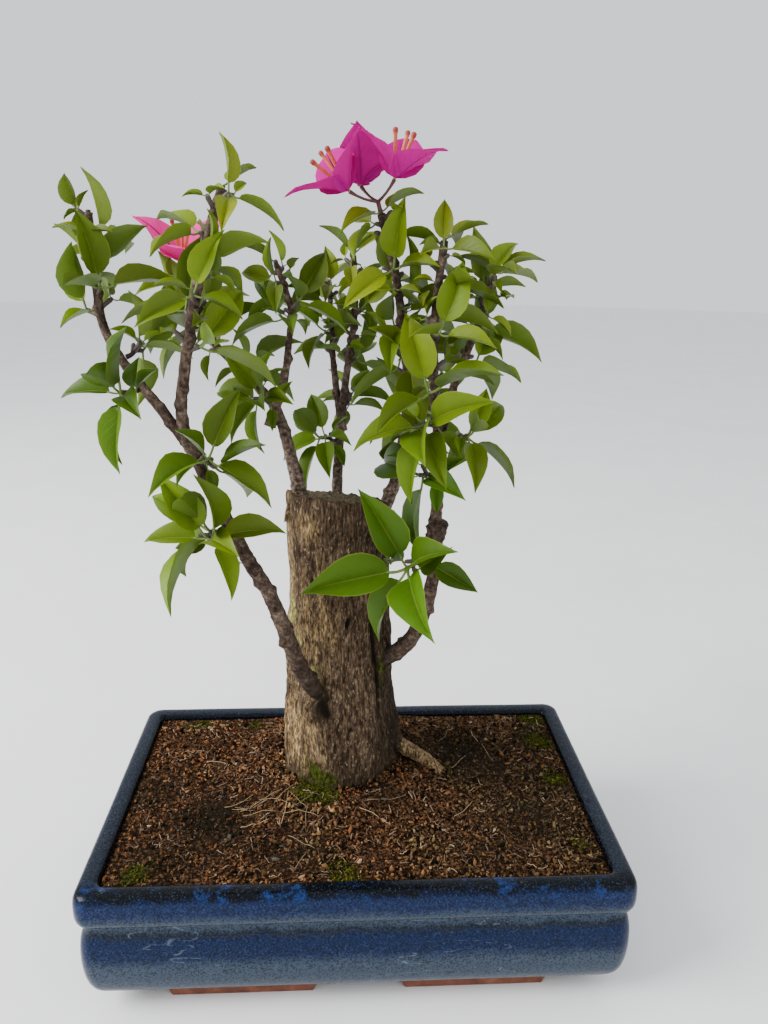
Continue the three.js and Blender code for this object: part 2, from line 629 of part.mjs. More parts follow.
// A spray: spurs turn round the stem by the golden angle, each with a whorl of leaves, and a tuft ends it
function growSpray(crown, spray) {
  const draw = draws(spray.seed);
  const { path, first, spurs } = spray;
  const last = path.length;
  const grown = { spurs: [], blades: [] };
  for (let k = 0; k <= spurs; k += 1) {
    const isTip = k === spurs;
    const step = first + ((last - first) * (k + draw(...SPUR_PLACE))) / spurs;
    const distance = isTip ? last : step;
    const turn = rad(spray.turn) + k * rad(GOLDEN_ANGLE) + draw(...TURN_JITTER);
    const along = path.along(distance);
    const foot = path.at(distance);
    const out = new THREE.Vector3(Math.cos(turn), Math.sin(turn), 0);
    out.addScaledVector(along, -out.dot(along)).normalize();
    const axis = isTip ? along
      : out.clone().multiplyScalar(SPUR_OUT).addScaledVector(along, SPUR_ONWARD).normalize();
    const tip = foot.clone().addScaledVector(axis, isTip ? 1 : path.radius(distance) + draw(...SPUR_LENGTH));
    const upper = axis.clone().multiplyScalar(FACE_OUT).addScaledVector(UP, FACE_UP).normalize();
    const [level, rise] = squareTo(axis);
    const count = isTip ? spray.tuft : spray.leaves;
    const size = spray.leaf * (1 - (spray.shrink * (distance - first)) / (last - first));
    const spin = draw(0, 2 * Math.PI);
    if (!crown.isApart([tip], spray.name, 0)) continue;
    crown.take([tip], spray.name, 0);
    foot.addScaledVector(axis, isTip ? -SPUR_KNOB : 0);
    const spur = { foot, tip, axis, upper, level, rise };
    grown.spurs.push(spur);
    for (let j = 0; j < count; j += 1) {
      for (let t = 0; t < TRIES; t += 1) {
        const blade = tryLeaf(draw, spur, spin + (j * 2 * Math.PI) / count, size);
        const samples = bladeSamples(blade);
        const stalk = stalkSamples(blade);
        if (crown.isClear(samples, spray.name) && crown.isApart(stalk, spray.name, 0)) {
          crown.take(samples, spray.name, CLEAR_OWN);
          crown.take(stalk, spray.name, 0);
          grown.blades.push(blade);
          break;
        }
      }
    }
  }
  return grown;
}

function makeSpray(spray, grown) {
  const sides = spray.stemFrom > 0 ? STEM_SIDES : TWIG_SIDES;
  const stem = limbSolid(spray.path, spray.stemFrom, spray.path.length, sides);
  const spurs = grown.spurs.map(({ foot, tip, axis }) => {
    const end = tip.clone().addScaledVector(axis, SPUR_ROOT);
    return straight(foot, end, SPUR_ROOT, SPUR_KNOB, TWIG_SIDES);
  });
  const leaves = grown.blades.map(leafSolid);
  addPiece(`foliage_${spray.name}`, joined([stem, ...spurs, ...leaves]), LEAF_GREEN);
}

// A flower: three bracts round an axis, each with a slender tube inside
function flowerBlades(flower) {
  const axis = vec(flower.axis).normalize();
  const foot = vec(flower.foot);
  const [level, rise] = squareTo(axis);
  return Array.from({ length: BRACTS }, (_, i) => {
    const spin = rad(flower.turn + (360 / BRACTS) * i);
    const outward = level.clone().multiplyScalar(Math.cos(spin)).addScaledVector(rise, Math.sin(spin));
    const leaning = (angle) => axis.clone().multiplyScalar(Math.cos(rad(angle)))
      .addScaledVector(outward, Math.sin(rad(angle)));
    const forward = leaning(BRACT_LEAN);
    return {
      ...layBlade(forward, axis, 0),
      forward, droop: rad(BRACT_CURL), length: BRACT_LENGTH, width: BRACT_LENGTH * BRACT_WIDTH,
      fold: rad(BRACT_FOLD), stations: BRACT_STATIONS, spur: foot,
      base: foot.clone().addScaledVector(forward, 0.5),
      tubeEnd: foot.clone().addScaledVector(leaning(TUBE_LEAN), TUBE_LENGTH),
    };
  });
}

// The stalks of a blossom fan out from a knot just above the shoot's tip
function bloomStalks(bloom) {
  const { path } = bloom;
  const along = path.along(path.length);
  const start = path.at(path.length).addScaledVector(along, STALK_START);
  const knot = start.clone().addScaledVector(along, STALK_START);
  return { start, knot };
}

function growBloom(crown, bloom) {
  const { knot } = bloomStalks(bloom);
  bloom.flowers.forEach((flower) => {
    const foot = vec(flower.foot);
    crown.take([0, 0.33, 0.67, 1].map((share) => knot.clone().lerp(foot, share)), bloom.name, 0);
    flowerBlades(flower).forEach((blade) => crown.take(bladeSamples(blade), bloom.name, 0));
  });
}

function makeBloom(bloom) {
  const { start, knot } = bloomStalks(bloom);
  const beyond = knot.clone().lerp(start, -0.5);
  const pieces = [straight(start, beyond, STALK_RADIUS, SPUR_KNOB, STEM_SIDES)];
  bloom.flowers.forEach((flower) => {
    const foot = vec(flower.foot);
    const axis = vec(flower.axis).setLength(SPUR_KNOB);
    pieces.push(straight(knot, foot, STALK_RADIUS, STALK_RADIUS, TWIG_SIDES));
    pieces.push(straight(foot.clone().sub(axis), foot.clone().add(axis), SPUR_KNOB, SPUR_KNOB, STEM_SIDES));
    flowerBlades(flower).forEach((blade) => {
      pieces.push(leafSolid(blade));
      pieces.push(straight(foot, blade.tubeEnd, STALK_RADIUS, TUBE_RADIUS, TWIG_SIDES));
    });
  });
  addPiece(bloom.name, joined(pieces), BRACT_PINK);
}

// Shoot: a short side twig that starts clear of its limb's bark
function shootPath(limb, spray) {
  const distance = spray.place * limb.length;
  const along = limb.along(distance);
  const angle = rad(spray.toward);
  const out = new THREE.Vector3(Math.cos(angle), Math.sin(angle), 0);
  out.addScaledVector(along, -out.dot(along)).normalize();
  const onward = out.clone().multiplyScalar(Math.cos(rad(spray.rise)))
    .addScaledVector(UP, Math.sin(rad(spray.rise))).normalize();
  const start = limb.at(distance).addScaledVector(out, limb.radius(distance) + FIT);
  const collar = start.clone().addScaledVector(out, SHOOT_COLLAR);
  const end = collar.clone().addScaledVector(onward, spray.length - SHOOT_COLLAR);
  return new Path([start, collar, end], SHOOT_ROOT, SHOOT_TIP);
}

// Growing order: limbs, then blossoms, then the sprays at the tips, then those on the side shoots
const limbs = new Map(LIMBS.map((limb) => [
  limb.name, { ...limb, path: new Path(limb.through.map(vec), limb.root, limb.tip) },
]));
const tipSprays = TIP_SPRAYS.map((spray) => {
  const { path, bare } = limbs.get(spray.limb);
  const stemFrom = bare * path.length + FIT;
  return { ...spray, path, stemFrom, first: bare * path.length + 3, shrink: TIP_SHRINK };
});
const sideSprays = SIDE_SPRAYS.map((spray) => {
  const path = shootPath(limbs.get(spray.limb).path, spray);
  return { ...spray, path, stemFrom: 0, first: 3, shrink: SHOOT_SHRINK };
});
const sprays = [...tipSprays, ...sideSprays];
const blooms = BLOOMS.map((bloom) => ({ ...bloom, path: limbs.get(bloom.limb).path }));
const limbPaths = [...limbs.values()].map((limb) => limb.path);
const crown = new Crown([...limbPaths, ...sideSprays.map((spray) => spray.path)]);

makePot();
makeFeet();
makeSoil();
makeTrunk();
makeBoughs(limbs);
blooms.forEach((bloom) => growBloom(crown, bloom));
sprays.forEach((spray) => makeSpray(spray, growSpray(crown, spray)));
blooms.forEach(makeBloom);

export default plant;
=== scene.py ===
# %% [markdown]
# # A bougainvillea bonsai in a glazed tray
# The plant is a thick, cut-back trunk with a few thin boughs that carry leaves and pink bracts. Its packed
# solids come in first as a fixed frame. The cells below replace them with finer pieces in the same places,
# in metres, so the looks can't drift away from the measured plant.

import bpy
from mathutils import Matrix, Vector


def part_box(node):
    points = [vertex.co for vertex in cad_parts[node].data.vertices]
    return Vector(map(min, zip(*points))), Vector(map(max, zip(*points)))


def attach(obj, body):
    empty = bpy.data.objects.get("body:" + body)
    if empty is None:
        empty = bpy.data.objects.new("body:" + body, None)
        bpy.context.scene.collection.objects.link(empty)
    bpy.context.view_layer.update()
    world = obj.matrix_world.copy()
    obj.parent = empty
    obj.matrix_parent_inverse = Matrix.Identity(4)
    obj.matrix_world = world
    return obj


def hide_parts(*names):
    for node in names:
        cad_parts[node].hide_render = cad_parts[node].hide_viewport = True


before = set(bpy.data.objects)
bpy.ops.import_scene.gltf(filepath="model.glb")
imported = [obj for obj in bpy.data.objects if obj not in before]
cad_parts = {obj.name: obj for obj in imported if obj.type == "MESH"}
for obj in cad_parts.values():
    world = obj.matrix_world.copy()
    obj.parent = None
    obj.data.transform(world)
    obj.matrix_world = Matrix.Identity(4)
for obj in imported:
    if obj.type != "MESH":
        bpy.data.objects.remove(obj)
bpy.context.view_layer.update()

# %% [markdown]
# ## The camera
# A photograph can be matched by hand, or its camera can be worked out from known corners. Here the pot's
# corners gave the eye point, the tilt, a slight turn to the right, a small roll and the focal length in
# pixels. The sensor width belongs to the picture's long side, so the focal length is taken as a share of
# that side.

# %% Camera
import math

import bpy
from mathutils import Matrix, Vector

EYE = Vector((-0.0072, -0.3382, 0.3142))
TILT_DOWN, TURN_RIGHT, ROLL = (math.radians(angle) for angle in (17.67, 3.18, -0.84))
FOCAL_SHARE = 790 / 1024

forward = Vector((math.sin(TURN_RIGHT) * math.cos(TILT_DOWN), math.cos(TURN_RIGHT) * math.cos(TILT_DOWN),
                  -math.sin(TILT_DOWN)))
level = Vector((math.cos(TURN_RIGHT), -math.sin(TURN_RIGHT), 0))
down = forward.cross(level)
right = level * math.cos(ROLL) + down * math.sin(ROLL)
below = down * math.cos(ROLL) - level * math.sin(ROLL)
lens = bpy.data.cameras.new("camera")
lens.sensor_width = 36
lens.lens = FOCAL_SHARE * lens.sensor_width
lens.clip_start = 0.01
camera = bpy.data.objects.new("camera", lens)
bpy.context.scene.collection.objects.link(camera)
camera.matrix_world = Matrix.Translation(EYE) @ Matrix((right, -below, -forward)).transposed().to_4x4()
bpy.context.scene.camera = camera
print("lens", round(lens.lens, 2), "mm")

# %% [markdown]
# ## Materials in a few lines
# Every finish below is a small graph of nodes. Nodes can be wired by hand in the editor, but here one class
# keeps the graphs readable: it starts a material, adds a node with its values and links, and has short
# names for what comes up again and again, such as ramps, fades, mixes, noise and bumps. Patterns read
# Object coordinates, which are metres here, or values that were stored on the mesh. A Mix node has sockets
# for every type of data; its colours are inputs 6 and 7 and output 2.

# %% Material helpers
class Finish:
    def __init__(self, name):
        self.material = bpy.data.materials.new(name)
        self.material.use_nodes = True
        self.tree = self.material.node_tree
        self.shader = self.tree.nodes["Principled BSDF"]
        self.output = self.tree.nodes["Material Output"]

    def feed(self, socket, value):
        if isinstance(value, bpy.types.NodeSocket):
            self.tree.links.new(value, socket)
        else:
            socket.default_value = value

    def add(self, kind, inputs=(), **settings):
        node = self.tree.nodes.new("ShaderNode" + kind)
        for key, value in settings.items():
            setattr(node, key, value)
        for key, value in dict(inputs).items():
            self.feed(node.inputs[key], value)
        return node

    def coat(self, colour, roughness, sheen=0.5):
        for key, value in (("Base Color", colour), ("Roughness", roughness), ("Specular IOR Level", sheen)):
            self.feed(self.shader.inputs[key], value)

    def ramp(self, value, *stops):
        node = self.add("ValToRGB", {"Fac": value})
        elements = node.color_ramp.elements
        elements[0].position, elements[0].color = stops[0][0], (*stops[0][1], 1)
        elements[1].position, elements[1].color = stops[-1][0], (*stops[-1][1], 1)
        for place, colour in stops[1:-1]:
            elements.new(place).color = (*colour, 1)
        return node.outputs["Color"]

    def fade(self, value, low, high):
        return self.add("MapRange", {"Value": value, "From Min": low, "From Max": high}).outputs["Result"]

    def calc(self, operation, first, second=0):
        return self.add("Math", {0: first, 1: second}, operation=operation).outputs[0]

    def times(self, first, second):
        return self.calc("MULTIPLY", first, second)

    def apart(self, first, second):
        return self.calc("ABSOLUTE", self.calc("SUBTRACT", first, second))

    def mix(self, share, first, second):
        node = self.add("Mix", {0: share}, data_type="RGBA")
        for key, colour in ((6, first), (7, second)):
            self.feed(node.inputs[key], (*colour, 1) if isinstance(colour, tuple) else colour)
        return node.outputs[2]

    def mottle(self, colour, pattern, low, high, kept):
        return self.mix(self.fade(pattern, low, high), self.mix(kept, (0, 0, 0), colour), colour)

    def spots(self, stretch=(1, 1, 1)):
        place = self.add("TexCoord").outputs["Object"]
        return self.add("Mapping", {"Vector": place, "Scale": stretch}).outputs["Vector"]

    def noise(self, place, scale, detail=4, roughness=0.6):
        inputs = {"Vector": place, "Scale": scale, "Detail": detail, "Roughness": roughness}
        return self.add("TexNoise", inputs).outputs["Fac"]

    def stored(self, name, output="Fac"):
        return self.add("Attribute", attribute_name=name).outputs[output]

    def bump(self, height, strength, distance):
        node = self.add("Bump", {"Height": height, "Strength": strength, "Distance": distance})
        self.feed(self.shader.inputs["Normal"], node.outputs["Normal"])


# %% [markdown]
# ## Floor and light
# The stage is a plain pale floor under a soft sky. One broad lamp stands to the left of the pot, as a
# window would, and a weaker one fills from the right. Broad lamps give the leaves soft shadows with no hard
# edges.

# %% Floor and light
import bmesh

FLOOR_RADIUS = 6
SKY_TINT, SKY_STRENGTH = (0.93, 0.95, 1, 1), 1.2


def studio_floor():
    paint = Finish("floor_paint")
    grain = paint.noise(paint.spots(), 9)
    paint.coat(paint.ramp(grain, (0.3, (0.85, 0.85, 0.84)), (0.7, (0.9, 0.9, 0.89))), 0.6)
    bm = bmesh.new()
    bmesh.ops.create_circle(bm, cap_ends=True, segments=64, radius=FLOOR_RADIUS)
    mesh = bpy.data.meshes.new("floor")
    bm.to_mesh(mesh)
    bm.free()
    mesh.materials.append(paint.material)
    floor = bpy.data.objects.new("floor", mesh)
    bpy.context.scene.collection.objects.link(floor)


def soft_lamp(name, place, aim, size, power):
    lamp = bpy.data.lights.new(name, "AREA")
    lamp.size = size
    lamp.energy = power
    holder = bpy.data.objects.new(name, lamp)
    bpy.context.scene.collection.objects.link(holder)
    holder.location = place
    holder.rotation_euler = (Vector(aim) - Vector(place)).to_track_quat("-Z", "Y").to_euler()


studio_floor()
soft_lamp("window", (-1.25, -0.3, 1.05), aim=(0, 0, 0.18), size=0.9, power=48)
soft_lamp("fill", (1.1, -0.9, 0.8), aim=(0, 0, 0.15), size=1.0, power=5)
sky = bpy.data.worlds.new("sky")
bpy.context.scene.world = sky
sky.use_nodes = True
background = sky.node_tree.nodes["Background"]
background.inputs["Color"].default_value = SKY_TINT
background.inputs["Strength"].default_value = SKY_STRENGTH
print("stage ready:", len(bpy.data.lights), "lamps")

# %% [markdown]
# ## From a sheet to a piece
# Trunk, boughs, tray and soil are all closed skins round an axis. A lathe would make them too regular, so
# each one starts as a flat grid that is rolled up: a function tells every grid point where it goes, and the
# seam and the end rows are welded. Sizes are in millimetres, as on a drawing, and are scaled to metres at
# the end.

# %% Sheet and piece helpers
import numpy as np

MM = 0.001
WELD_GAP, SHORTEST_EDGE = 1e-3, 1e-4


def roll_sheet(bm, sides, rows, place):
    sheet = bmesh.ops.create_grid(bm, x_segments=sides, y_segments=rows, size=1)["verts"]
    for point in sheet:
        point.co = place((point.co.x + 1) / 2, (point.co.y + 1) / 2)
    bmesh.ops.remove_doubles(bm, verts=sheet, dist=WELD_GAP)


def close_mesh(bm, name):
    bmesh.ops.dissolve_degenerate(bm, dist=SHORTEST_EDGE, edges=bm.edges)
    bmesh.ops.recalc_face_normals(bm, faces=bm.faces)
    bmesh.ops.scale(bm, vec=(MM, MM, MM), verts=bm.verts)
    mesh = bpy.data.meshes.new(name)
    bm.to_mesh(mesh)
    bm.free()
    return mesh


def add_piece(name, mesh, finish, nodes=(), smooth=True):
    piece = bpy.data.objects.new(name, mesh)
    bpy.context.scene.collection.objects.link(piece)
    mesh.materials.append(finish.material)
    mesh.polygons.foreach_set("use_smooth", [smooth] * len(mesh.polygons))
    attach(piece, "root")
    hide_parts(*nodes)
    print(name, "has", len(mesh.polygons), "faces")


# %% [markdown]
# ## The tray
# A tray like this is slip-cast: a rounded lip, a groove under it and a full-bellied body, all with soft
# corners. Its section is a list of insets from the lip's outline, walked round a rounded rectangle. A touch
# of slow noise keeps the long sides from being ruler straight.

# %% Tray shape
from mathutils import noise

POT_WIDTH, POT_DEPTH, POT_HEIGHT, POT_CORNER, CORNER_SHRINK = 240, 148, 63, 7, 0.3
POT_WALL, POT_FLOOR = 9.5, 15
FOOT_HEIGHT, FOOT_LENGTH, FOOT_DEPTH, FOOT_SLANT, FOOT_CENTRE, FOOT_INSET = 7, 69, 13, 3, 52, 10.5
SWAY_HEIGHT, SWAY_LENGTH, SWAY_START = 0.35, 45, 30
CORNER_STEPS, SIDE_STEPS = 8, 10
TRAY_SIDES = 4 * (CORNER_STEPS + SIDE_STEPS)
TRAY_SECTION = [
    (FOOT_INSET, FOOT_HEIGHT), (8.6, 7.5), (6.9, 8.4), (5.5, 9.7), (4.2, 11.3), (3, 13.2), (2, 16),
    (1.3, 19.5), (0.9, 23), (0.7, 27), (0.7, 31), (0.9, 35), (1.3, 38.5), (2, 41.6), (2.7, 43.7), (3.2, 45),
    (3.2, 46), (2.7, 46.8), (1.8, 47.5), (0.9, 48.4), (0.3, 50), (0, 52), (0, 55), (0.1, 58), (0.4, 60),
    (1, 61.6), (1.9, 62.5), (3.2, 63), (5.5, 63), (7.6, 62.9), (8.6, 62.4), (9.3, 61.4), (POT_WALL, 60),
    (POT_WALL, 52), (POT_WALL, POT_FLOOR)]


def tray_point(turn, inset, z):
    step = round(turn * TRAY_SIDES) % TRAY_SIDES
    side, step = divmod(step, CORNER_STEPS + SIDE_STEPS)
    radius = POT_CORNER - inset * CORNER_SHRINK

    def corner(number, angle):
        across = 1 if number % 4 in (0, 3) else -1
        along = 1 if number % 4 in (0, 1) else -1
        return Vector((across * (POT_WIDTH / 2 - inset - radius) + radius * math.cos(angle),
                       along * (POT_DEPTH / 2 - inset - radius) + radius * math.sin(angle), z))

    quarter = math.pi / 2
    if step <= CORNER_STEPS:
        return corner(side, quarter * (side + step / CORNER_STEPS))
    share = (step - CORNER_STEPS) / SIDE_STEPS
    return corner(side, quarter * (side + 1)).lerp(corner(side + 1, quarter * (side + 1)), share)


def tray_place(turn, share):
    row = round(share * (len(TRAY_SECTION) + 1))
    if row in (0, len(TRAY_SECTION) + 1):
        return Vector((0, 0, FOOT_HEIGHT if row == 0 else POT_FLOOR))
    inset, z = TRAY_SECTION[row - 1]
    spot = tray_point(turn, inset, z)
    sway = noise.noise(spot / SWAY_LENGTH) * SWAY_HEIGHT if row > 1 else 0
    return spot + Vector((0, 0, sway * min(1, (z - FOOT_HEIGHT) / SWAY_START)))


bm = bmesh.new()
roll_sheet(bm, TRAY_SIDES, len(TRAY_SECTION) + 1, tray_place)
tray_mesh = close_mesh(bm, "tray")
print("the tray's section has", len(TRAY_SECTION), "points")

# %% [markdown]
# ## Cobalt glaze
# The glaze is thin on the edges and thick where it ran together, so its colour follows the height: nearly
# black on top of the lip, cobalt on its face and greyer where it breaks over the groove. Just under the
# groove a thin dark line is painted shadow, and below it the body is navy before it pales to slate. Noise
# shakes those bands, and a finer one gives the speckle of a reduction glaze.
# Bright blue pools lie along the lip in front, bare chips on its edge and a few lime marks on the body.

# %% Glaze
SLATE, COBALT, NAVY = (0.036, 0.054, 0.083), (0.007, 0.017, 0.062), (0.004, 0.013, 0.05)
DARK_SLATE, BLACK, PALE_SPECK = (0.012, 0.017, 0.026), (0.003, 0.004, 0.006), (0.042, 0.062, 0.1)
BLUE_POOL, LIME_MARK, BARE_CHIP = (0.01, 0.034, 0.13), (0.2, 0.25, 0.3), (0.06, 0.06, 0.045)
glaze = Finish("cobalt_glaze")
place = glaze.spots()
spot = glaze.add("SeparateXYZ", {0: glaze.add("TexCoord").outputs["Object"]}).outputs
height, front = spot["Z"], glaze.fade(spot["Y"], -0.062, -0.067)
from_side, from_front = (glaze.calc("SUBTRACT", across / 2 * MM, glaze.calc("ABSOLUTE", spot[axis]))
                         for across, axis in ((POT_WIDTH, "X"), (POT_DEPTH, "Y")))
inside = glaze.fade(glaze.calc("MINIMUM", from_side, from_front), 0.0075, 0.009)
runs = glaze.noise(glaze.spots((1, 1, 0.5)), 70, 5, 0.65)
shaken = glaze.calc("ADD", height, glaze.times(glaze.calc("SUBTRACT", runs, 0.5), 0.008))
# The DARK_SLATE stop at 0.64, just under the groove, is a painted shadow line.
bands = glaze.ramp(
    glaze.fade(shaken, FOOT_HEIGHT * MM, POT_HEIGHT * MM), (0.0, DARK_SLATE), (0.06, SLATE), (0.34, SLATE),
    (0.44, NAVY), (0.58, NAVY), (0.64, DARK_SLATE), (0.67, SLATE), (0.77, SLATE), (0.85, COBALT),
    (0.95, COBALT))
topped = glaze.mix(glaze.fade(shaken, 0.0592, 0.0622), bands, glaze.mix(front, DARK_SLATE, BLACK))
lined = glaze.mix(inside, topped, BLACK)
drops = glaze.noise(place, 1250, 2, 0.6)
speckled = glaze.mix(glaze.fade(drops, 0.58, 0.85), glaze.mottle(lined, drops, 0.4, 0.53, 0.36), PALE_SPECK)

# %% [markdown]
# ## Marks on the glaze
# Each mark is a mask made of a few products: the pools are blots of noise near the top of the lip in front,
# the chips are the peaks of a finer noise all round it, and a lime mark follows a thin contour of a slow
# noise, as the rim of a dried drop of hard water does.

# %% Glaze marks
blots = glaze.fade(glaze.noise(place, 75, 5, 0.65), 0.54, 0.62)
pools = glaze.times(glaze.times(blots, glaze.fade(height, 0.057, 0.061)), front)
pooled = glaze.mix(glaze.times(pools, glaze.fade(drops, 0.25, 0.7)), speckled, BLUE_POOL)
worn = glaze.noise(place, 210, 6, 0.7)
chips = glaze.times(glaze.fade(worn, 0.66, 0.72), glaze.fade(height, 0.0585, 0.0625))
stains = glaze.noise(glaze.spots((0.35, 1, 1.4)), 40, 3, 0.5)
rims = glaze.fade(glaze.apart(stains, 0.57), 0.007, 0.001)
lime = glaze.times(glaze.times(rims, glaze.fade(worn, 0.46, 0.6)), glaze.fade(height, 0.05, 0.046))
limed = glaze.mix(glaze.times(lime, 0.35), pooled, LIME_MARK)
roughness = glaze.fade(glaze.noise(place, 120, 4), -0.2, 3.4)
glaze.coat(glaze.mix(chips, limed, BARE_CHIP), roughness, 0.11)
glaze.bump(glaze.noise(place, 160, 5, 0.6), 0.2, 0.0012)
add_piece("tray", tray_mesh, glaze, ["pot"])

# %% [markdown]
# ## Clay feet
# Four bare strips lift the tray. Each is a block whose ends slant in towards the ground, so the block's
# lower corners are drawn in before its edges are softened. Bare fired clay is matte, drifts from umber to
# rust and has dark specks; its colours here are darkened with painted shade, as the feet stand under the
# tray.

# %% Feet
FOOT_CLEAR, FOOT_SOFT = 0.05, 0.9
# These clay colours are darkened as painted shade, for the shadow under the tray.
UMBER, RUST = (0.08, 0.022, 0.01), (0.16, 0.05, 0.024)
PALE_CLAY, CLAY_SPECK = (0.24, 0.095, 0.055), (0.06, 0.03, 0.02)


def clay_foot(bm, middle_x, middle_y):
    top = FOOT_HEIGHT - FOOT_CLEAR
    block = bmesh.ops.create_cube(bm, size=1)["verts"]
    bmesh.ops.scale(bm, vec=(FOOT_LENGTH, FOOT_DEPTH, top), verts=block)
    bmesh.ops.translate(bm, vec=(middle_x, middle_y, top / 2), verts=block)
    for corner in block:
        if corner.co.z < top / 2:
            corner.co.x -= math.copysign(FOOT_SLANT, corner.co.x - middle_x)
    edges = {edge for corner in block for edge in corner.link_edges}
    bmesh.ops.bevel(bm, geom=list(edges), offset=FOOT_SOFT, offset_type="OFFSET", segments=3, profile=0.5,
                    affect="EDGES", material=-1)


bm = bmesh.new()
for sign_x in (-1, 1):
    for sign_y in (-1, 1):
        clay_foot(bm, sign_x * FOOT_CENTRE, sign_y * (POT_DEPTH / 2 - FOOT_INSET - FOOT_DEPTH / 2))
clay = Finish("bare_clay")
place = clay.spots()
fired_and_shaded = clay.ramp(clay.noise(place, 140, 5), (0.3, UMBER), (0.55, RUST), (0.75, PALE_CLAY))
specks = clay.fade(clay.noise(place, 1400, 2), 0.66, 0.72)
clay.coat(clay.mix(specks, fired_and_shaded, CLAY_SPECK), 0.85)
clay.bump(clay.noise(place, 900, 3), 0.35, 0.0004)
FEET = ["foot_front_left", "foot_front_right", "foot_back_left", "foot_back_right"]
add_piece("feet", close_mesh(bm, "feet"), clay, FEET)

# %% [markdown]
# ## Seeded numbers and smooth paths
# Every twig and leaf comes from a rule with seeded numbers, so each run grows the same plant. A limb is a
# smooth curve through a few points that were measured on the plant, with a radius that tapers from root to
# tip. The rule is the one that shaped the solids, so the leaves here land on the leaves there.

# %% Paths and seeds
FIT = 0.3
UP = np.array([0.0, 0.0, 1.0])
CURVE_STEPS, TAPER_POWER, AIM_REACH, UPRIGHT_LIMIT = 8, 1.7, 1.5, 1e-6
SEED_FACTOR, SEED_LIMIT, SEED_WARM_UP = 16807, 2147483647, 4


def unit(vector):
    return vector / math.sqrt(vector.dot(vector))


def seeded(seed):
    state = [seed]

    def draw(low, high):
        state[0] = state[0] * SEED_FACTOR % SEED_LIMIT
        return low + (high - low) * state[0] / SEED_LIMIT

    for _ in range(SEED_WARM_UP):
        draw(0, 1)
    return draw


class Path:
    def __init__(self, points, root, tip):
        knots = [np.array(point, float) for point in points]
        knots = [2 * knots[0] - knots[1], *knots, 2 * knots[-1] - knots[-2]]
        spots = []
        for a, b, c, d in zip(knots, knots[1:], knots[2:], knots[3:]):
            for step in range(CURVE_STEPS):
                t = step / CURVE_STEPS
                spots.append(b + t * (c - a) / 2 + t * t * (a - 2.5 * b + 2 * c - d / 2)
                             + t ** 3 * (1.5 * (b - c) + (d - a) / 2))
        self.points = np.array([*spots, knots[-2]])
        self.run = np.concatenate([[0], np.cumsum(np.linalg.norm(np.diff(self.points, axis=0), axis=1))])
        self.length = self.run[-1]
        self.root, self.tip = root, tip

    def at(self, distance):
        return np.array([np.interp(distance, self.run, self.points[:, axis]) for axis in range(3)])

    def along(self, distance):
        ahead, behind = min(distance + AIM_REACH, self.length), max(distance - AIM_REACH, 0)
        return unit(self.at(ahead) - self.at(behind))

    def radius(self, distance):
        left = max(0, 1 - distance / self.length)
        return self.tip + (self.root - self.tip) * left ** TAPER_POWER


def square_to(axis):
    across = np.cross(UP, axis)
    across = unit(across) if across.dot(across) > UPRIGHT_LIMIT else np.array([1.0, 0, 0])
    return across, np.cross(axis, across)


# %% [markdown]
# ## The limbs' points
# Each limb has its root and tip radius, the share of its length that is bare, and the points that it runs
# through, in millimetres from the middle of the pot's footprint.

# %% Limbs
LIMBS = {
    "lower_left": (4.4, 1.9, 0.72, [
        (-17, -2, 113), (-27, -12, 136), (-38, -18, 172), (-48, -22, 194), (-63, -25, 230), (-70, -27, 252),
        (-67, -30, 275), (-61, -32, 302), (-57, -32, 318), (-50, -30, 338)]),
    "left_outer": (2.3, 1.6, 0.56, [
        (-69, -26, 244), (-81, -22, 259), (-92, -18, 272), (-101, -14, 288), (-103, -12, 307),
        (-104, -10, 330)]),
    "top_left": (3.8, 1.4, 0.68, [
        (-25, 14, 203), (-31, 12, 232), (-37, 14, 251), (-50, 18, 265), (-64, 24, 278), (-72, 27, 293),
        (-76, 28, 306)]),
    "riser": (2.2, 1.2, 0.5, [
        (-37, 14, 250), (-33, 18, 262), (-31, 22, 277), (-30, 25, 294), (-36, 27, 312)]),
    "middle": (3, 1.4, 0.55, [
        (-10, 36, 196), (-9, 42, 222), (-7, 45, 244), (-5, 42, 262), (-2, 38, 283), (-1, 36, 299),
        (-2, 34, 316)]),
    "middle_left": (1.9, 1.2, 0.4, [
        (-8, 45, 242), (-11, 48, 263), (-12, 50, 282), (-13, 51, 304)]),
    "top_right": (3.6, 1.7, 0.46, [
        (8, 26, 190), (18, 31, 210), (22, 32, 232), (24, 30, 254), (21, 24, 278), (16, 14, 308),
        (9, 6, 332)]),
    "lower_right": (4.2, 1.7, 0.66, [
        (11, 8, 128), (24, 2, 140), (31, -4, 160), (34, -8, 181), (34, -10, 206), (34, -8, 238),
        (32, -8, 258), (31, -6, 279), (32, -2, 299), (35, 3, 322)]),
    "right_outer": (2.3, 1.5, 0.4, [
        (34, -8, 236), (39, 1, 256), (47, 8, 276), (53, 11, 292), (58, 13, 309)]),
}
limbs = {name: Path(points, root, tip) for name, (root, tip, _, points) in LIMBS.items()}
print(len(limbs), "limbs, the longest", round(max(limb.length for limb in limbs.values())), "mm")
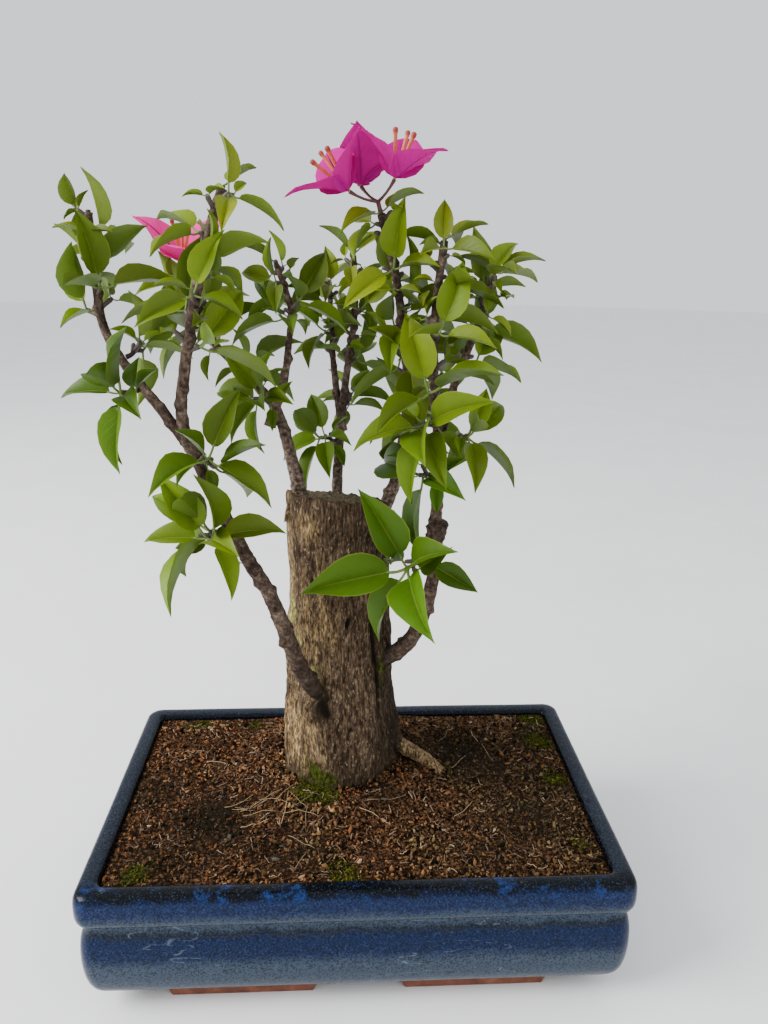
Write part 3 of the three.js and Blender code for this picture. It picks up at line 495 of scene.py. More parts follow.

# %% [markdown]
# ## The trunk
# An old bougainvillea trunk is a stout post: flared and lobed at the soil, almost straight above, and sawn
# off along a slope. Its bark has long fissures, small plates, a deep seam, a notch, a healed scar and a
# flap that laps over the lower limb's root. All of that is real relief here, because bark that is only
# painted looks flat as soon as the light moves. The depth at each point also tells the material where to
# darken the fissures, for their own dark colour and for painted shade in them.

# %% Trunk shape
SOIL_TOP = 68.5
TRUNK_FOOT, TRUNK_LEAN = Vector((-8, 18, SOIL_TOP)), Vector((-1.7, 0, 0))
TRUNK_HEIGHT, TRUNK_WAIST, TRUNK_CUT_SLOPE = 139.5, 25, (-0.11, -0.2)
TRUNK_TAPER = [(0, 30), (6, 29), (26, 27.4), (54, 25), (86, 23.5), (139.5, 23.2)]
TRUNK_SUNK, SUNK_HEIGHT = 2, 20
FLARE_LOBES, FLARE_DEPTH, FLARE_HEIGHT = 5, 0.06, 22
RIBS = [(6, 0.75, 40, 0), (3, 0.6, -19, 1)]
ROLL_HEIGHT, ROLL_LENGTH = 0.5, 8.6
COLLARS, COLLAR_SWELL, COLLAR_WIDE, COLLAR_TALL = [(-112, 40), (-27, 57)], 2.4, 0.32, 11
TRUNK_SIDES, TRUNK_ROWS, CUT_ROWS = 190, 160, 16
SEAM_ANGLE, SCAR_ANGLE, NOTCH_ANGLE = math.radians(-48), math.radians(-129), math.radians(-80)
LAP_ANGLE, CLEFT_ANGLE = math.radians(-114), math.radians(-104)
SCAR_HEIGHT, NOTCH_HEIGHT, LAP_HEIGHT = 130, 85, 43
BARK_STRETCH, PLATE_STRETCH = 0.17, 0.4
CUT_EDGE, CUT_DISH = 8, 1.5


def bump_at(angle, height, middle_angle, middle_height, wide, tall):
    turn = math.remainder(angle - middle_angle, 2 * math.pi)
    return math.exp(-(turn / wide) ** 2 - ((height - middle_height) / tall) ** 2)


def trunk_swell(angle, height):
    ribs = sum(high * math.sin(count * angle + height / twist + start)
               for count, high, twist, start in RIBS)
    rolls = ROLL_HEIGHT * math.sin(height / ROLL_LENGTH + 2 * math.sin(angle))
    collars = [bump_at(angle, height, math.radians(at), middle, COLLAR_WIDE, COLLAR_TALL)
               for at, middle in COLLARS]
    return ribs + rolls + COLLAR_SWELL * max(collars)


def crease(spot, scale, wide):
    return max(0, 1 - abs(noise.noise(spot * scale)) / wide)


def bark_relief(spot, angle, height):
    long = Vector((spot.x, spot.y, spot.z * BARK_STRETCH))
    short = Vector((spot.x, spot.y, spot.z * PLATE_STRETCH))
    fissure = crease(long, 0.36, 0.16) + 0.6 * crease(long + Vector((9, 4, 2)), 0.85, 0.2)
    pit = max(0, 1 - noise.voronoi(short * 0.34)[0][0] / 0.3)
    plates = noise.noise(short * 0.5 + Vector((1, 9, 4)))
    seam_turn = SEAM_ANGLE - 0.0016 * (height - 66) + 0.03 * math.sin(height / 7)
    seam = bump_at(angle, height, seam_turn, 64, 0.05, 30)
    notch = bump_at(angle, height, NOTCH_ANGLE + 0.008 * (height - NOTCH_HEIGHT), NOTCH_HEIGHT, 0.035, 3)
    scar = bump_at(angle, height, SCAR_ANGLE, SCAR_HEIGHT, 0.26, 6.5)
    deep = (0.55 * fissure + 0.7 * pit) * (1 - 0.6 * scar)
    ring = scar * (1 - scar) * 4
    lap = bump_at(angle, height, LAP_ANGLE, LAP_HEIGHT, 0.2, 7.5) * (1 + 0.6 * plates)
    cleft = bump_at(angle, height, CLEFT_ANGLE - 0.012 * (height - LAP_HEIGHT), LAP_HEIGHT, 0.06, 6)
    raised = trunk_swell(angle, height) + 0.5 + 0.6 * plates + 0.7 * ring + 4 * lap
    sunken = deep + 2.4 * seam + 2 * notch + 1.5 * cleft
    return raised - sunken, 0.6 * deep + 1.3 * seam + 1.5 * notch + 0.9 * cleft


def trunk_place(turn, share):
    angle = 2 * math.pi * turn
    row = share * (TRUNK_ROWS + CUT_ROWS)
    height = min(1, row / TRUNK_ROWS) * TRUNK_HEIGHT
    inward = max(0, (row - TRUNK_ROWS) / CUT_ROWS)
    lobe = 1 + FLARE_DEPTH * math.exp(-height / FLARE_HEIGHT) * math.cos(FLARE_LOBES * angle)
    radius = np.interp(height, *zip(*TRUNK_TAPER)) * lobe
    out = Vector((math.cos(angle), math.sin(angle), 0))
    sunk = TRUNK_SUNK * (1 - min(1, height / SUNK_HEIGHT))
    axis = TRUNK_FOOT + TRUNK_LEAN * (height / TRUNK_HEIGHT) + Vector((0, 0, height - sunk))
    reach = (radius + bark_relief(axis + out * radius, angle, height)[0]) * (1 - inward)
    spot = axis + out * reach
    slope = Vector((*TRUNK_CUT_SLOPE, 0)).dot(out * reach)
    ragged = noise.noise(Vector((spot.x, spot.y, 5)) * 0.35) * 1.3 + noise.noise(spot * 0.9) * 0.7
    spot.z += (slope + ragged) * max(0, (height - TRUNK_HEIGHT + CUT_EDGE) / CUT_EDGE) - CUT_DISH * inward
    return spot


bm = bmesh.new()
roll_sheet(bm, TRUNK_SIDES, TRUNK_ROWS + CUT_ROWS, trunk_place)
print("the trunk's skin has", len(bm.verts), "points")

# %% [markdown]
# ## A limb's skin
# A limb is a sheet rolled round its path. Its surface is lumpy: old leaf scars stand out as small knobs,
# turned round the limb by the golden angle, and noise wrinkles the bark between them. The same function
# makes the surface root and the stubs of old boughs, so they join the trunk's mesh here.

# %% Limb skin
GOLDEN_ANGLE = math.radians(137.5)
KNOB_START, KNOB_STEP, KNOB_LONG, KNOB_WIDE, KNOB_REACH = 7, 6.5, 1.6, 0.6, 6
COLLAR_LENGTH, RING_HEIGHT, RING_TURNS = 13, 0.12, 0.9


def carried_frames(path, distances):
    across, _ = square_to(path.along(0))
    frames = []
    for distance in distances:
        along = path.along(distance)
        across = unit(across - along * across.dot(along))
        frames.append((path.at(distance), across, np.cross(along, across)))
    return frames


def limb_skin(bm, path, sides, step, seed, knob=0.9, collar=0.25, rough=0.16):
    rows = max(4, round(path.length / step))
    distances = np.linspace(0, path.length, rows + 1)
    frames = carried_frames(path, distances)
    draw = seeded(seed)
    knobs = [(place, draw(0, 0.6) + k * GOLDEN_ANGLE, draw(0.7, 1.9) * knob)
             for k, place in enumerate(np.arange(KNOB_START, path.length, KNOB_STEP) + draw(-2, 2))]

    def place(turn, share):
        row = round(share * (rows + 2)) - 1
        middle, across, rise = frames[min(max(row, 0), rows)]
        if row in (-1, rows + 1):
            return Vector(middle)
        distance, angle = distances[row], 2 * math.pi * turn
        out = across * math.cos(angle) + rise * math.sin(angle)
        radius = path.radius(distance) * (1 + collar * math.exp(-(distance / COLLAR_LENGTH) ** 2))
        spot = Vector(middle + out * radius)
        wrinkle = noise.noise(spot * 0.5) * 0.6 + noise.noise(spot * 1.3) * 0.4
        lump = sum(high * bump_at(angle, distance, way, at, KNOB_WIDE, KNOB_LONG)
                   for at, way, high in knobs if abs(distance - at) < KNOB_REACH)
        ring = RING_HEIGHT * max(0, math.sin(distance * RING_TURNS)) ** 4
        return Vector(middle + out * (radius * (1 + rough * wrinkle) + lump + ring))

    roll_sheet(bm, sides, rows + 2, place)


SURFACE_ROOT = [(12, 14, 80), (22, 13, 76), (31, 12, 71), (39, 10, 65.5), (43.5, 8, 61), (46, 6.5, 55)]
STUBS = [((-24, 14, 200), (-33.4, 13, 202)), ((8, 14, 197), (17.5, 12, 199))]
limb_skin(bm, Path(SURFACE_ROOT, 3.9, 3.2), sides=24, step=0.9, seed=5, knob=0.5)
for number, (start, end) in enumerate(STUBS):
    limb_skin(bm, Path([start, end], 5, 3.2), sides=20, step=0.7, seed=11 + number, knob=0.4, rough=0.5)
trunk_mesh = close_mesh(bm, "trunk_bark")
print("with its root and stubs it has", len(trunk_mesh.vertices))

# %% [markdown]
# ## Tints on the trunk
# Some colours belong to places on this one trunk, so they are stored per point. Moss covers the front of
# the foot and the damp strip beside the seam, lichen the left edge and the flap. The scar and the left side
# are tan; on the left side the tan is partly the bark's colour and partly painted light where the lamp
# falls.
# The wood is dark where water wets it at the soil, and painted shade darkens the right side and the bark
# under the lower limb's root. A list gives each place its strength, its angle in degrees, its height and how
# wide and tall it is.

# %% Bark tints
LICHEN_PLACES = [(1.3, -160, 80, 0.34, 15), (1.1, -138, 71, 0.12, 8), (1.3, -118, 58, 0.13, 7)]
# Painted light: apart from the tan scar, these places lighten the trunk's left side, where the lamp falls.
TAN_AND_LIT_PLACES = [(1, math.degrees(SCAR_ANGLE), SCAR_HEIGHT, 0.32, 8), (0.9, -145, 22, 0.62, 24),
              (0.75, -170, 100, 0.4, 60), (0.62, -122, 82, 0.6, 34)]
# Painted shade: these places darken the trunk's right side and the bark under the lower limb's root.
PAINTED_SHADE_PLACES = [(1, -14, 30, 0.68, 75), (1.1, -108, 46, 0.15, 9)]
FOOT_MOSS, SEAM_MOSS = [(1, -113, 3, 0.36, 10)], [(1, math.degrees(SEAM_ANGLE + 0.2), 62, 0.17, 32)]
ROOT_AWAY, ROOT_BELOW, ROOT_FROM, ROOT_TAN, ROOT_FISSURE = 32, 84, 20, 0.6, 0.1
SAWN_DEPTH, SAWN_RADIUS, STAIN_HEIGHT = 6, 21, 7


def store(mesh, name, values):
    mesh.attributes.new(name, "FLOAT", "POINT").data.foreach_set("value", np.asarray(values, np.float32))


def strongest(places, angle, height):
    return max(strong * bump_at(angle, height, math.radians(at), middle, wide, tall)
               for strong, at, middle, wide, tall in places)


def point_tints(spot):
    height = spot.z - SOIL_TOP
    axis = TRUNK_FOOT + TRUNK_LEAN * (height / TRUNK_HEIGHT)
    angle = math.atan2(spot.y - axis.y, spot.x - axis.x)
    away = math.hypot(spot.y - axis.y, spot.x - axis.x)
    is_root = away > ROOT_AWAY and spot.z < ROOT_BELOW and spot.x > ROOT_FROM
    patchy = 0.5 + noise.noise(spot * 0.12) + 0.6 * noise.noise(spot * 0.4)
    streaky = 0.6 + noise.noise(Vector((spot.x, spot.y, spot.z * 0.15)) * 0.35)
    stain = 0.95 * math.exp(-(max(height, 0) / STAIN_HEIGHT) ** 2) * min(1, 0.5 + patchy)
    return {
        "fissure": ROOT_FISSURE if is_root else bark_relief(spot, angle, height)[1],
        "moss": max(strongest(FOOT_MOSS, angle, height) * (0.4 + patchy),
                    strongest(SEAM_MOSS, angle, height) * (0.4 + 0.6 * patchy) * 0.8),
        "lichen": strongest(LICHEN_PLACES, angle, height) * patchy,
        "tan_and_light": ROOT_TAN if is_root else strongest(TAN_AND_LIT_PLACES, angle, height) * streaky * 1.5,
        "damp_and_shade": 0 if is_root else min(1, max(stain, strongest(PAINTED_SHADE_PLACES, angle, height))),
        "sawn": 1.0 if height > TRUNK_HEIGHT - SAWN_DEPTH and away < SAWN_RADIUS else 0.0}


tints = [point_tints(point.co / MM) for point in trunk_mesh.vertices]
for name in tints[0]:
    store(trunk_mesh, name, [tint[name] for tint in tints])
    print(name, "tints", sum(tint[name] > 0.3 for tint in tints), "points")

# %% [markdown]
# ## Old bark
# The relief that the mesh already has decides the main colour: fissures are nearly black-brown, partly
# their own colour and partly painted shade, and the plates between them grey-brown with tan flecks. A noise
# that is stretched up the trunk gives the grain. The stored tints then lay tan with painted light on the
# left side, damp with painted shade, lichen and moss over it, and the sawn top shows its end grain.

# %% Old bark
BARK_DARK, BARK_DEEP = (0.011, 0.006, 0.003), (0.042, 0.026, 0.015)
BARK_MID, BARK_PALE = (0.1, 0.066, 0.04), (0.28, 0.2, 0.12)
TAN_DARK, TAN_MID = (0.032, 0.018, 0.007), (0.21, 0.135, 0.058)
TAN_PALE, TAN_FLECK = (0.55, 0.4, 0.21), (0.32, 0.24, 0.15)
PIT_BROWN, WET_WOOD_AND_SHADE, FISSURE_AND_SHADE_BROWN = (0.014, 0.009, 0.006), (0.012, 0.009, 0.005), (0.009, 0.006, 0.003)
bark = Finish("old_bark")
grain = bark.noise(bark.spots((1, 1, 0.24)), 1020, 6, 0.72)
plates = bark.noise(bark.spots((1, 1, 0.35)), 150, 5, 0.65)
flecks = bark.noise(bark.spots((1, 1, 0.45)), 820, 3, 0.6)
pits = bark.fade(bark.noise(bark.spots((1, 1, 0.3)), 640, 2, 0.5), 0.42, 0.33)
striae = bark.noise(bark.spots((1, 1, 0.07)), 950, 3, 0.6)
weave = bark.calc("ADD", bark.times(grain, 0.45), bark.times(striae, 0.3))
ground = bark.ramp(bark.calc("ADD", weave, bark.times(plates, 0.25)),
                   (0.38, BARK_DARK), (0.46, BARK_DEEP), (0.53, BARK_MID), (0.62, BARK_PALE))
flecked = bark.mix(bark.fade(flecks, 0.6, 0.7), ground, TAN_FLECK)
# This tan is partly the bark's own colour and partly painted light on the lit left side.
tan_and_lit = bark.ramp(grain, (0.38, TAN_DARK), (0.5, TAN_MID), (0.64, TAN_PALE))
tanned = bark.mix(bark.fade(bark.stored("tan_and_light"), 0.15, 0.95), flecked, tan_and_lit)
pitted = bark.mix(bark.times(pits, 0.7), tanned, PIT_BROWN)
# This mix darkens the wet foot and paints shade on the right side and under the limb's root.
dimmed = bark.mix(bark.times(bark.stored("damp_and_shade"), 0.78), pitted, WET_WOOD_AND_SHADE)
# Fissures, seam, notch and cleft are painted near black: partly their own dark colour, partly painted shade
# in the hollows.
fissure_shaded = bark.mix(bark.fade(bark.stored("fissure"), 0.15, 0.75), dimmed, FISSURE_AND_SHADE_BROWN)
crust = bark.ramp(flecks, (0.4, (0.075, 0.07, 0.016)), (0.6, (0.38, 0.35, 0.12)))
lichened = bark.mix(bark.fade(bark.stored("lichen"), 0.3, 0.8), fissure_shaded, crust)
velvet = bark.ramp(flecks, (0.4, (0.01, 0.014, 0.002)), (0.62, (0.06, 0.072, 0.008)))
mossed = bark.mix(bark.fade(bark.stored("moss"), 0.3, 0.75), lichened, velvet)
endgrain = bark.ramp(grain, (0.35, (0.03, 0.022, 0.013)), (0.6, (0.2, 0.16, 0.1)))
bark.coat(bark.mix(bark.stored("sawn"), mossed, endgrain), 0.9, 0.08)
bark.bump(bark.calc("ADD", grain, bark.times(flecks, 0.5)), 0.9, 0.0011)
add_piece("trunk_bark", trunk_mesh, bark, ["trunk"])

# %% [markdown]
# ## The boughs
# Boughs start inside the trunk or inside the bough that they branch from and run to their tips among the
# leaves, so each is one skin with no joint. One of them was cut back, and its knobbly stub still shows
# beside the shoot that took over.

# %% Boughs
ROOT_DEPTH, ROOT_DRAW = 8, 0.4
BOUGH_COLLAR, FIRST_COLLAR = 0.25, -0.6
CUT_STUB = [(33, -9, 190), (33.6, -9.5, 197), (35, -11.5, 205)]


def sunk_root(first, second):
    if first.z < SOIL_TOP + TRUNK_HEIGHT / 2:
        return first.lerp(Vector((TRUNK_FOOT.x, TRUNK_FOOT.y, first.z - ROOT_DEPTH)), ROOT_DRAW)
    return first + (first - second).normalized() * ROOT_DEPTH


bm = bmesh.new()
for number, (root, tip, _, points) in enumerate(LIMBS.values()):
    start = sunk_root(Vector(points[0]), Vector(points[1]))
    collar = BOUGH_COLLAR if number else FIRST_COLLAR
    limb_skin(bm, Path([start, *points], root, tip), sides=16, step=1.1, seed=31 + number, collar=collar)
limb_skin(bm, Path(CUT_STUB, 3.4, 4.3), sides=16, step=0.8, seed=61, collar=0, rough=0.4)
boughs_mesh = close_mesh(bm, "boughs")
print("boughs have", len(boughs_mesh.vertices), "points")

# %% [markdown]
# ## Young bark
# Young bark is dark and smoother than the trunk's, purplish brown with paler cork on its ridges. Limbs near
# the trunk's sawn top have weathered grey, and the two low ones get painted shade, nearly black, where they
# leave the trunk. Both are stored as shares that fade with the distance from those places.

# %% Young bark
LOW_ROOTS, ROOT_SHADE_REACH = np.array([(-19.5, -12, 120), (12, 7, 129)]), 11
WEATHERED_HEIGHT, WEATHERED_REACH, WEATHERED_FROM, WEATHERED_SHARE = 208, 30, 4, 0.8
CORK_DARK, CORK_DEEP = (0.012, 0.008, 0.005), (0.05, 0.032, 0.023)
CORK_MID, CORK_PALE, CROTCH_SHADE = (0.11, 0.076, 0.055), (0.26, 0.195, 0.145), (0.014, 0.009, 0.005)
GREY_DARK, GREY_MID, GREY_PALE = (0.03, 0.02, 0.014), (0.13, 0.092, 0.068), (0.36, 0.28, 0.21)


def root_shade(spot):
    return math.exp(-((LOW_ROOTS - np.array(spot)) ** 2).sum(1).min() / ROOT_SHADE_REACH ** 2)


def weathering(spot):
    near = math.exp(-((spot.z - WEATHERED_HEIGHT) / WEATHERED_REACH) ** 2)
    return WEATHERED_SHARE * near * (spot.y > WEATHERED_FROM)


# Painted shade: the two low limbs are darkened where they leave the trunk.
store(boughs_mesh, "crotch_shade", [root_shade(point.co / MM) for point in boughs_mesh.vertices])
store(boughs_mesh, "weathered", [weathering(point.co / MM) for point in boughs_mesh.vertices])
young = Finish("young_bark")
cork = young.noise(young.spots(), 520, 5, 0.65)
patches = young.noise(young.spots(), 110, 4, 0.6)
tone = young.ramp(young.calc("ADD", young.times(cork, 0.55), young.times(patches, 0.45)),
                  (0.36, CORK_DARK), (0.47, CORK_DEEP), (0.56, CORK_MID), (0.67, CORK_PALE))
greyed = young.ramp(cork, (0.36, GREY_DARK), (0.5, GREY_MID), (0.66, GREY_PALE))
weathered = young.mix(young.stored("weathered"), tone, greyed)
shaded = young.mix(young.times(young.stored("crotch_shade"), 0.92), weathered, CROTCH_SHADE)
young.coat(shaded, 0.8, 0.12)
young.bump(cork, 0.8, 0.0007)
add_piece("boughs", boughs_mesh, young, ["bough_" + name for name in LIMBS])

# %% [markdown]
# ## Where the sprays grow
# A spray is a stem with spurs, and each spur has a whorl of leaves. Nine sprays sit at the limbs' tips and
# the others on short shoots along the limbs. A line gives the limb, the number of spurs, the leaves on a
# spur, the leaves round the tip, the leaf length, the seed, the turn of the first spur and the green that
# the whole spray is dealt. A shoot adds its place on the limb, its direction, length and rise.

# %% Sprays
TIP_SPRAYS = {
    "left_outer": ("left_outer", 6, 3, 5, 27, 38, 180, "fresh"),
    "left_inner": ("lower_left", 6, 3, 2, 27, 14, 0, "fresh"),
    "top_left": ("top_left", 5, 3, 3, 26, 60, 90, "middle"),
    "riser": ("riser", 5, 3, 4, 26, 31, 200, "deep"),
    "middle_left": ("middle_left", 5, 3, 4, 24, 79, 90, "middle"),
    "middle": ("middle", 5, 3, 3, 24, 51, 40, "middle"),
    "top_right": ("top_right", 9, 3, 6, 32, 73, 150, "fresh"),
    "right_inner": ("lower_right", 9, 3, 6, 29, 55, 250, "fresh"),
    "right_outer": ("right_outer", 8, 3, 5, 30, 41, 0, "middle"),
}
SHOOT_SPRAYS = {
    "left_fork": ("left_outer", 1, 3, 4, 33, 32, 190, "shade", 0.28, 225, 8, 15),
    "left_rise": ("left_outer", 1, 2, 3, 26, 52, 60, "fresh", 0.42, 20, 6, 25),
    "lower_left": ("lower_left", 2, 4, 5, 33, 68, 200, "middle", 0.44, 235, 10, 10),
    "fork_right": ("lower_left", 1, 3, 4, 30, 16, 320, "deep", 0.56, 310, 6, 20),
    "top_left_low": ("top_left", 1, 3, 4, 26, 7, 230, "deep", 0.45, 260, 8, 20),
    "top_left_mid": ("top_left", 1, 3, 3, 25, 42, 90, "deep", 0.6, 90, 8, 30),
    "middle_low": ("middle", 1, 3, 4, 24, 11, 180, "deep", 0.28, 230, 8, 20),
    "middle_back": ("middle", 1, 3, 4, 24, 12, 70, "middle", 0.42, 70, 8, 25),
    "back_right": ("top_right", 2, 3, 4, 27, 14, 60, "middle", 0.36, 60, 10, 20),
    "right_front": ("lower_right", 1, 3, 5, 33, 47, 220, "middle", 0.64, 240, 10, 10),
    "right_low": ("lower_right", 1, 3, 4, 35, 66, 200, "shade", 0.53, 235, 10, 5),
    "right_side": ("lower_right", 1, 3, 4, 30, 73, 0, "middle", 0.6, 335, 10, 15),
    "lower_right": ("lower_right", 1, 1, 5, 44, 14, 240, "shade", 0.35, 232, 18, 5),
}
TIP_SHRINK, SHOOT_SHRINK, SHOOT_ROOT, SHOOT_TIP, SHOOT_COLLAR = 0.35, 0.15, 1.1, 0.8, 2.5
SPRAY_START = 3


def shoot_path(limb, place, toward, length, rise):
    distance = place * limb.length
    along = limb.along(distance)
    level = np.array([math.cos(math.radians(toward)), math.sin(math.radians(toward)), 0])
    out = unit(level - along * level.dot(along))
    onward = unit(out * math.cos(math.radians(rise)) + UP * math.sin(math.radians(rise)))
    start = limb.at(distance) + out * (limb.radius(distance) + FIT)
    collar = start + out * SHOOT_COLLAR
    return Path([start, collar, collar + onward * (length - SHOOT_COLLAR)], SHOOT_ROOT, SHOOT_TIP)


def spray_of(name, limb, spurs, leaves, tuft, leaf, seed, turn, green, *shoot):
    path = shoot_path(limbs[limb], *shoot) if shoot else limbs[limb]
    first = SPRAY_START if shoot else LIMBS[limb][2] * path.length + SPRAY_START
    return {"name": name, "path": path, "first": first, "shrink": SHOOT_SHRINK if shoot else TIP_SHRINK,
            "spurs": spurs, "leaves": leaves, "tuft": tuft, "leaf": leaf, "seed": seed, "turn": turn,
            "green": green, "is_shoot": bool(shoot)}


sprays = [spray_of(name, *values) for name, values in {**TIP_SPRAYS, **SHOOT_SPRAYS}.items()]
print(len(sprays), "sprays")

# %% [markdown]
# ## A leaf's geometry
# A leaf blade is ovate with a drawn-out tip. It bends down along an arc and folds up along its midrib. Any
# point of it follows from how far along and how far across it lies, so the same function serves for testing
# whether a leaf has room and for building it.

# %% Blades
LEAF_WIDTH, LEAF_FOLD, PETIOLE_LENGTH = 0.62, math.radians(24), 0.2
OUTLINE_SCALE, BASE_POWER, TIP_POWER = 3.28, 0.62, 1.25


def half_width(along):
    along = np.clip(along, 0, 1)
    return OUTLINE_SCALE * along ** BASE_POWER * (1 - along) ** TIP_POWER


def blade_points(blade, along, across):
    along, across = np.broadcast_arrays(np.asarray(along, float), np.asarray(across, float))
    bend = blade["droop"] * along
    half = blade["width"] / 2 * half_width(along)
    lift = np.abs(across) * half * math.sin(blade["fold"])
    ahead = blade["length"] * np.sin(bend) / blade["droop"] + lift * np.sin(bend)
    upward = -blade["length"] * (1 - np.cos(bend)) / blade["droop"] + lift * np.cos(bend)
    sideways = across * half * math.cos(blade["fold"])
    return (blade["base"] + ahead[..., None] * blade["forward"] + upward[..., None] * blade["normal"]
            + sideways[..., None] * blade["side"])


def lay_blade(ahead, upper, roll):
    side = unit(np.cross(upper, ahead))
    normal = np.cross(ahead, side)
    rolled_side = side * math.cos(roll) + normal * math.sin(roll)
    return rolled_side, normal * math.cos(roll) - side * math.sin(roll)


SAMPLE_ALONG = np.repeat([0.1, 0.3, 0.5, 0.7, 0.92], 5)
SAMPLE_ACROSS = np.tile([-0.85, -0.42, 0, 0.42, 0.85], 5)
SAMPLE_STALK = np.array([[0.5], [1.0]])
widest = half_width(np.linspace(0, 1, 101)).max()
print("a leaf's width is", round(widest * LEAF_WIDTH, 2), "of its length")


# %% [markdown]
# ## Room in the crown
# Leaves push each other aside as they grow. The crown therefore remembers points on every leaf, stalk and
# spur, and a new leaf is kept only if its own points are clear of limbs, trunk and other leaves. A leaf
# that doesn't fit gets a few more tries and is then left out.

# %% Crown
CLEAR_LIMB = 1.5
REACH = np.array([119, 71.5, 366.5])
LEAF_ROOM, OWN_ROOM, FIRST_BLOOM = 4, 1.8, 100


class Crown:
    def __init__(self, paths, between, own):
        self.limb_points = np.concatenate([path.points for path in paths])
        self.limb_room = np.concatenate(
            [[(path.radius(run) + CLEAR_LIMB) ** 2 for run in path.run] for path in paths])
        self.between, self.own = between, own
        self.points, self.owners, self.rooms = np.zeros((0, 3)), np.zeros(0, int), np.zeros(0)

    def is_apart(self, samples, owner, own_room):
        gaps = ((samples[:, None] - self.points[None]) ** 2).sum(2)
        rooms = np.where(self.owners == owner, np.minimum(own_room, self.rooms), self.between)
        return not (gaps < rooms ** 2).any()

    def is_clear(self, samples, owner):
        inside = (np.abs(samples[:, :2]) <= REACH[:2]).all() and (samples[:, 2] <= REACH[2]).all()
        aside = np.hypot(samples[:, 0] - TRUNK_FOOT.x - TRUNK_LEAN.x, samples[:, 1] - TRUNK_FOOT.y)
        low = samples[:, 2] < SOIL_TOP + FIT + TRUNK_HEIGHT + CLEAR_LIMB
        hits_trunk = (low & (aside < TRUNK_WAIST + CLEAR_LIMB)).any()
        gaps = ((samples[:, None] - self.limb_points[None]) ** 2).sum(2)
        return inside and not hits_trunk and not (gaps < self.limb_room).any() and self.is_apart(
            samples, owner, self.own)

    def take(self, points, owner, own_room):
        self.points = np.concatenate([self.points, points])
        self.owners = np.concatenate([self.owners, [owner] * len(points)])
        self.rooms = np.concatenate([self.rooms, [own_room] * len(points)])


# %% [markdown]
# ## Bracts
# What looks like a flower is three coloured leaves, the bracts, round three slender tubes. Their feet, axes
# and first turns were read off the plant. They take their room in the crown before any leaf does.

# %% Bracts
BRACT_LENGTH, BRACT_WIDTH, BRACT_STEP, BRACTS = 27, 0.74, 0.5, 3
BRACT_LEAN, BRACT_CURL, BRACT_FOLD = math.radians(38), math.radians(30), math.radians(12)
TUBE_LENGTH, TUBE_LEAN, STALK_START = 19, math.radians(14), 2.6
BLOOMS = {
    "bloom_top": ("top_right", [
        ((-4, 0, 340), (-0.65, -0.15, 0.74), 40), ((1, 14, 343), (0.05, 0.35, 0.94), 90),
        ((14, 2, 345), (0.22, -0.15, 0.95), 20)]),
    "bloom_left": ("top_left", [((-76, 25, 312), (0.1, -0.4, 0.9), 30)]),
}


def flower_blades(foot, axis, turn):
    foot, axis = np.array(foot, float), unit(np.array(axis, float))
    across, rise = square_to(axis)
    for number in range(BRACTS):
        spin = math.radians(turn + 360 / BRACTS * number)
        outward = across * math.cos(spin) + rise * math.sin(spin)
        ahead = axis * math.cos(BRACT_LEAN) + outward * math.sin(BRACT_LEAN)
        tube = axis * math.cos(TUBE_LEAN) + outward * math.sin(TUBE_LEAN)
        side, normal = lay_blade(ahead, axis, 0)
        yield {"forward": ahead, "side": side, "normal": normal, "droop": BRACT_CURL, "length": BRACT_LENGTH,
               "width": BRACT_LENGTH * BRACT_WIDTH, "fold": BRACT_FOLD, "spur": foot,
               "base": foot + ahead * BRACT_STEP, "tube": foot + tube * TUBE_LENGTH}


def bloom_knot(limb):
    along = limb.along(limb.length)
    start = limb.at(limb.length) + along * STALK_START
    return start, start + along * STALK_START


shoots = [spray["path"] for spray in sprays if spray["is_shoot"]]
crown = Crown([*limbs.values(), *shoots], LEAF_ROOM, OWN_ROOM)
STALK_SHARES = np.array([[0], [0.33], [0.67], [1]])
blooms = {}
for number, (name, (limb, flowers)) in enumerate(BLOOMS.items()):
    _, knot = bloom_knot(limbs[limb])
    blooms[name] = [blade for flower in flowers for blade in flower_blades(*flower)]
    for foot, _, _ in flowers:
        crown.take(knot + (np.array(foot) - knot) * STALK_SHARES, FIRST_BLOOM + number, 0)
    for blade in blooms[name]:
        crown.take(blade_points(blade, SAMPLE_ALONG, SAMPLE_ACROSS), FIRST_BLOOM + number, 0)
print(sum(map(len, blooms.values())), "bracts")


# %% [markdown]
# ## Growing the sprays
# Spurs turn round the stem by the golden angle, as buds do on the plant. Each has a whorl of leaves that
# lean out, rise or sag a little and droop, and a tuft ends the stem. Every choice is a seeded draw in a
# fixed order.

# %% Grow
TRIES, SHOOT_YOUTH, STRAY_LIMIT = 4, 0.3, 1
SPUR_OUT, SPUR_ALONG, UPPER_AXIS, UPPER_UP = 0.82, 0.57, 0.55, 0.6


def try_leaf(draw, spur, spin, size):
    around = spin + draw(-0.35, 0.35)
    lean = math.radians(draw(40, 78))
    ahead = spur["axis"] * math.cos(lean) + math.sin(lean) * (
        spur["across"] * math.cos(around) + spur["rise"] * math.sin(around))
    ahead = unit(ahead - UP * draw(-0.15, 0.15))
    roll, droop = math.radians(draw(-25, 25)), math.radians(draw(8, 40))
    length = size * draw(0.72, 1.1)
    side, normal = lay_blade(ahead, spur["upper"], roll)
    return {"forward": ahead, "side": side, "normal": normal, "droop": droop, "length": length,
            "width": length * LEAF_WIDTH, "fold": LEAF_FOLD, "spur": spur["tip"],
            "base": spur["tip"] + ahead * PETIOLE_LENGTH * length}


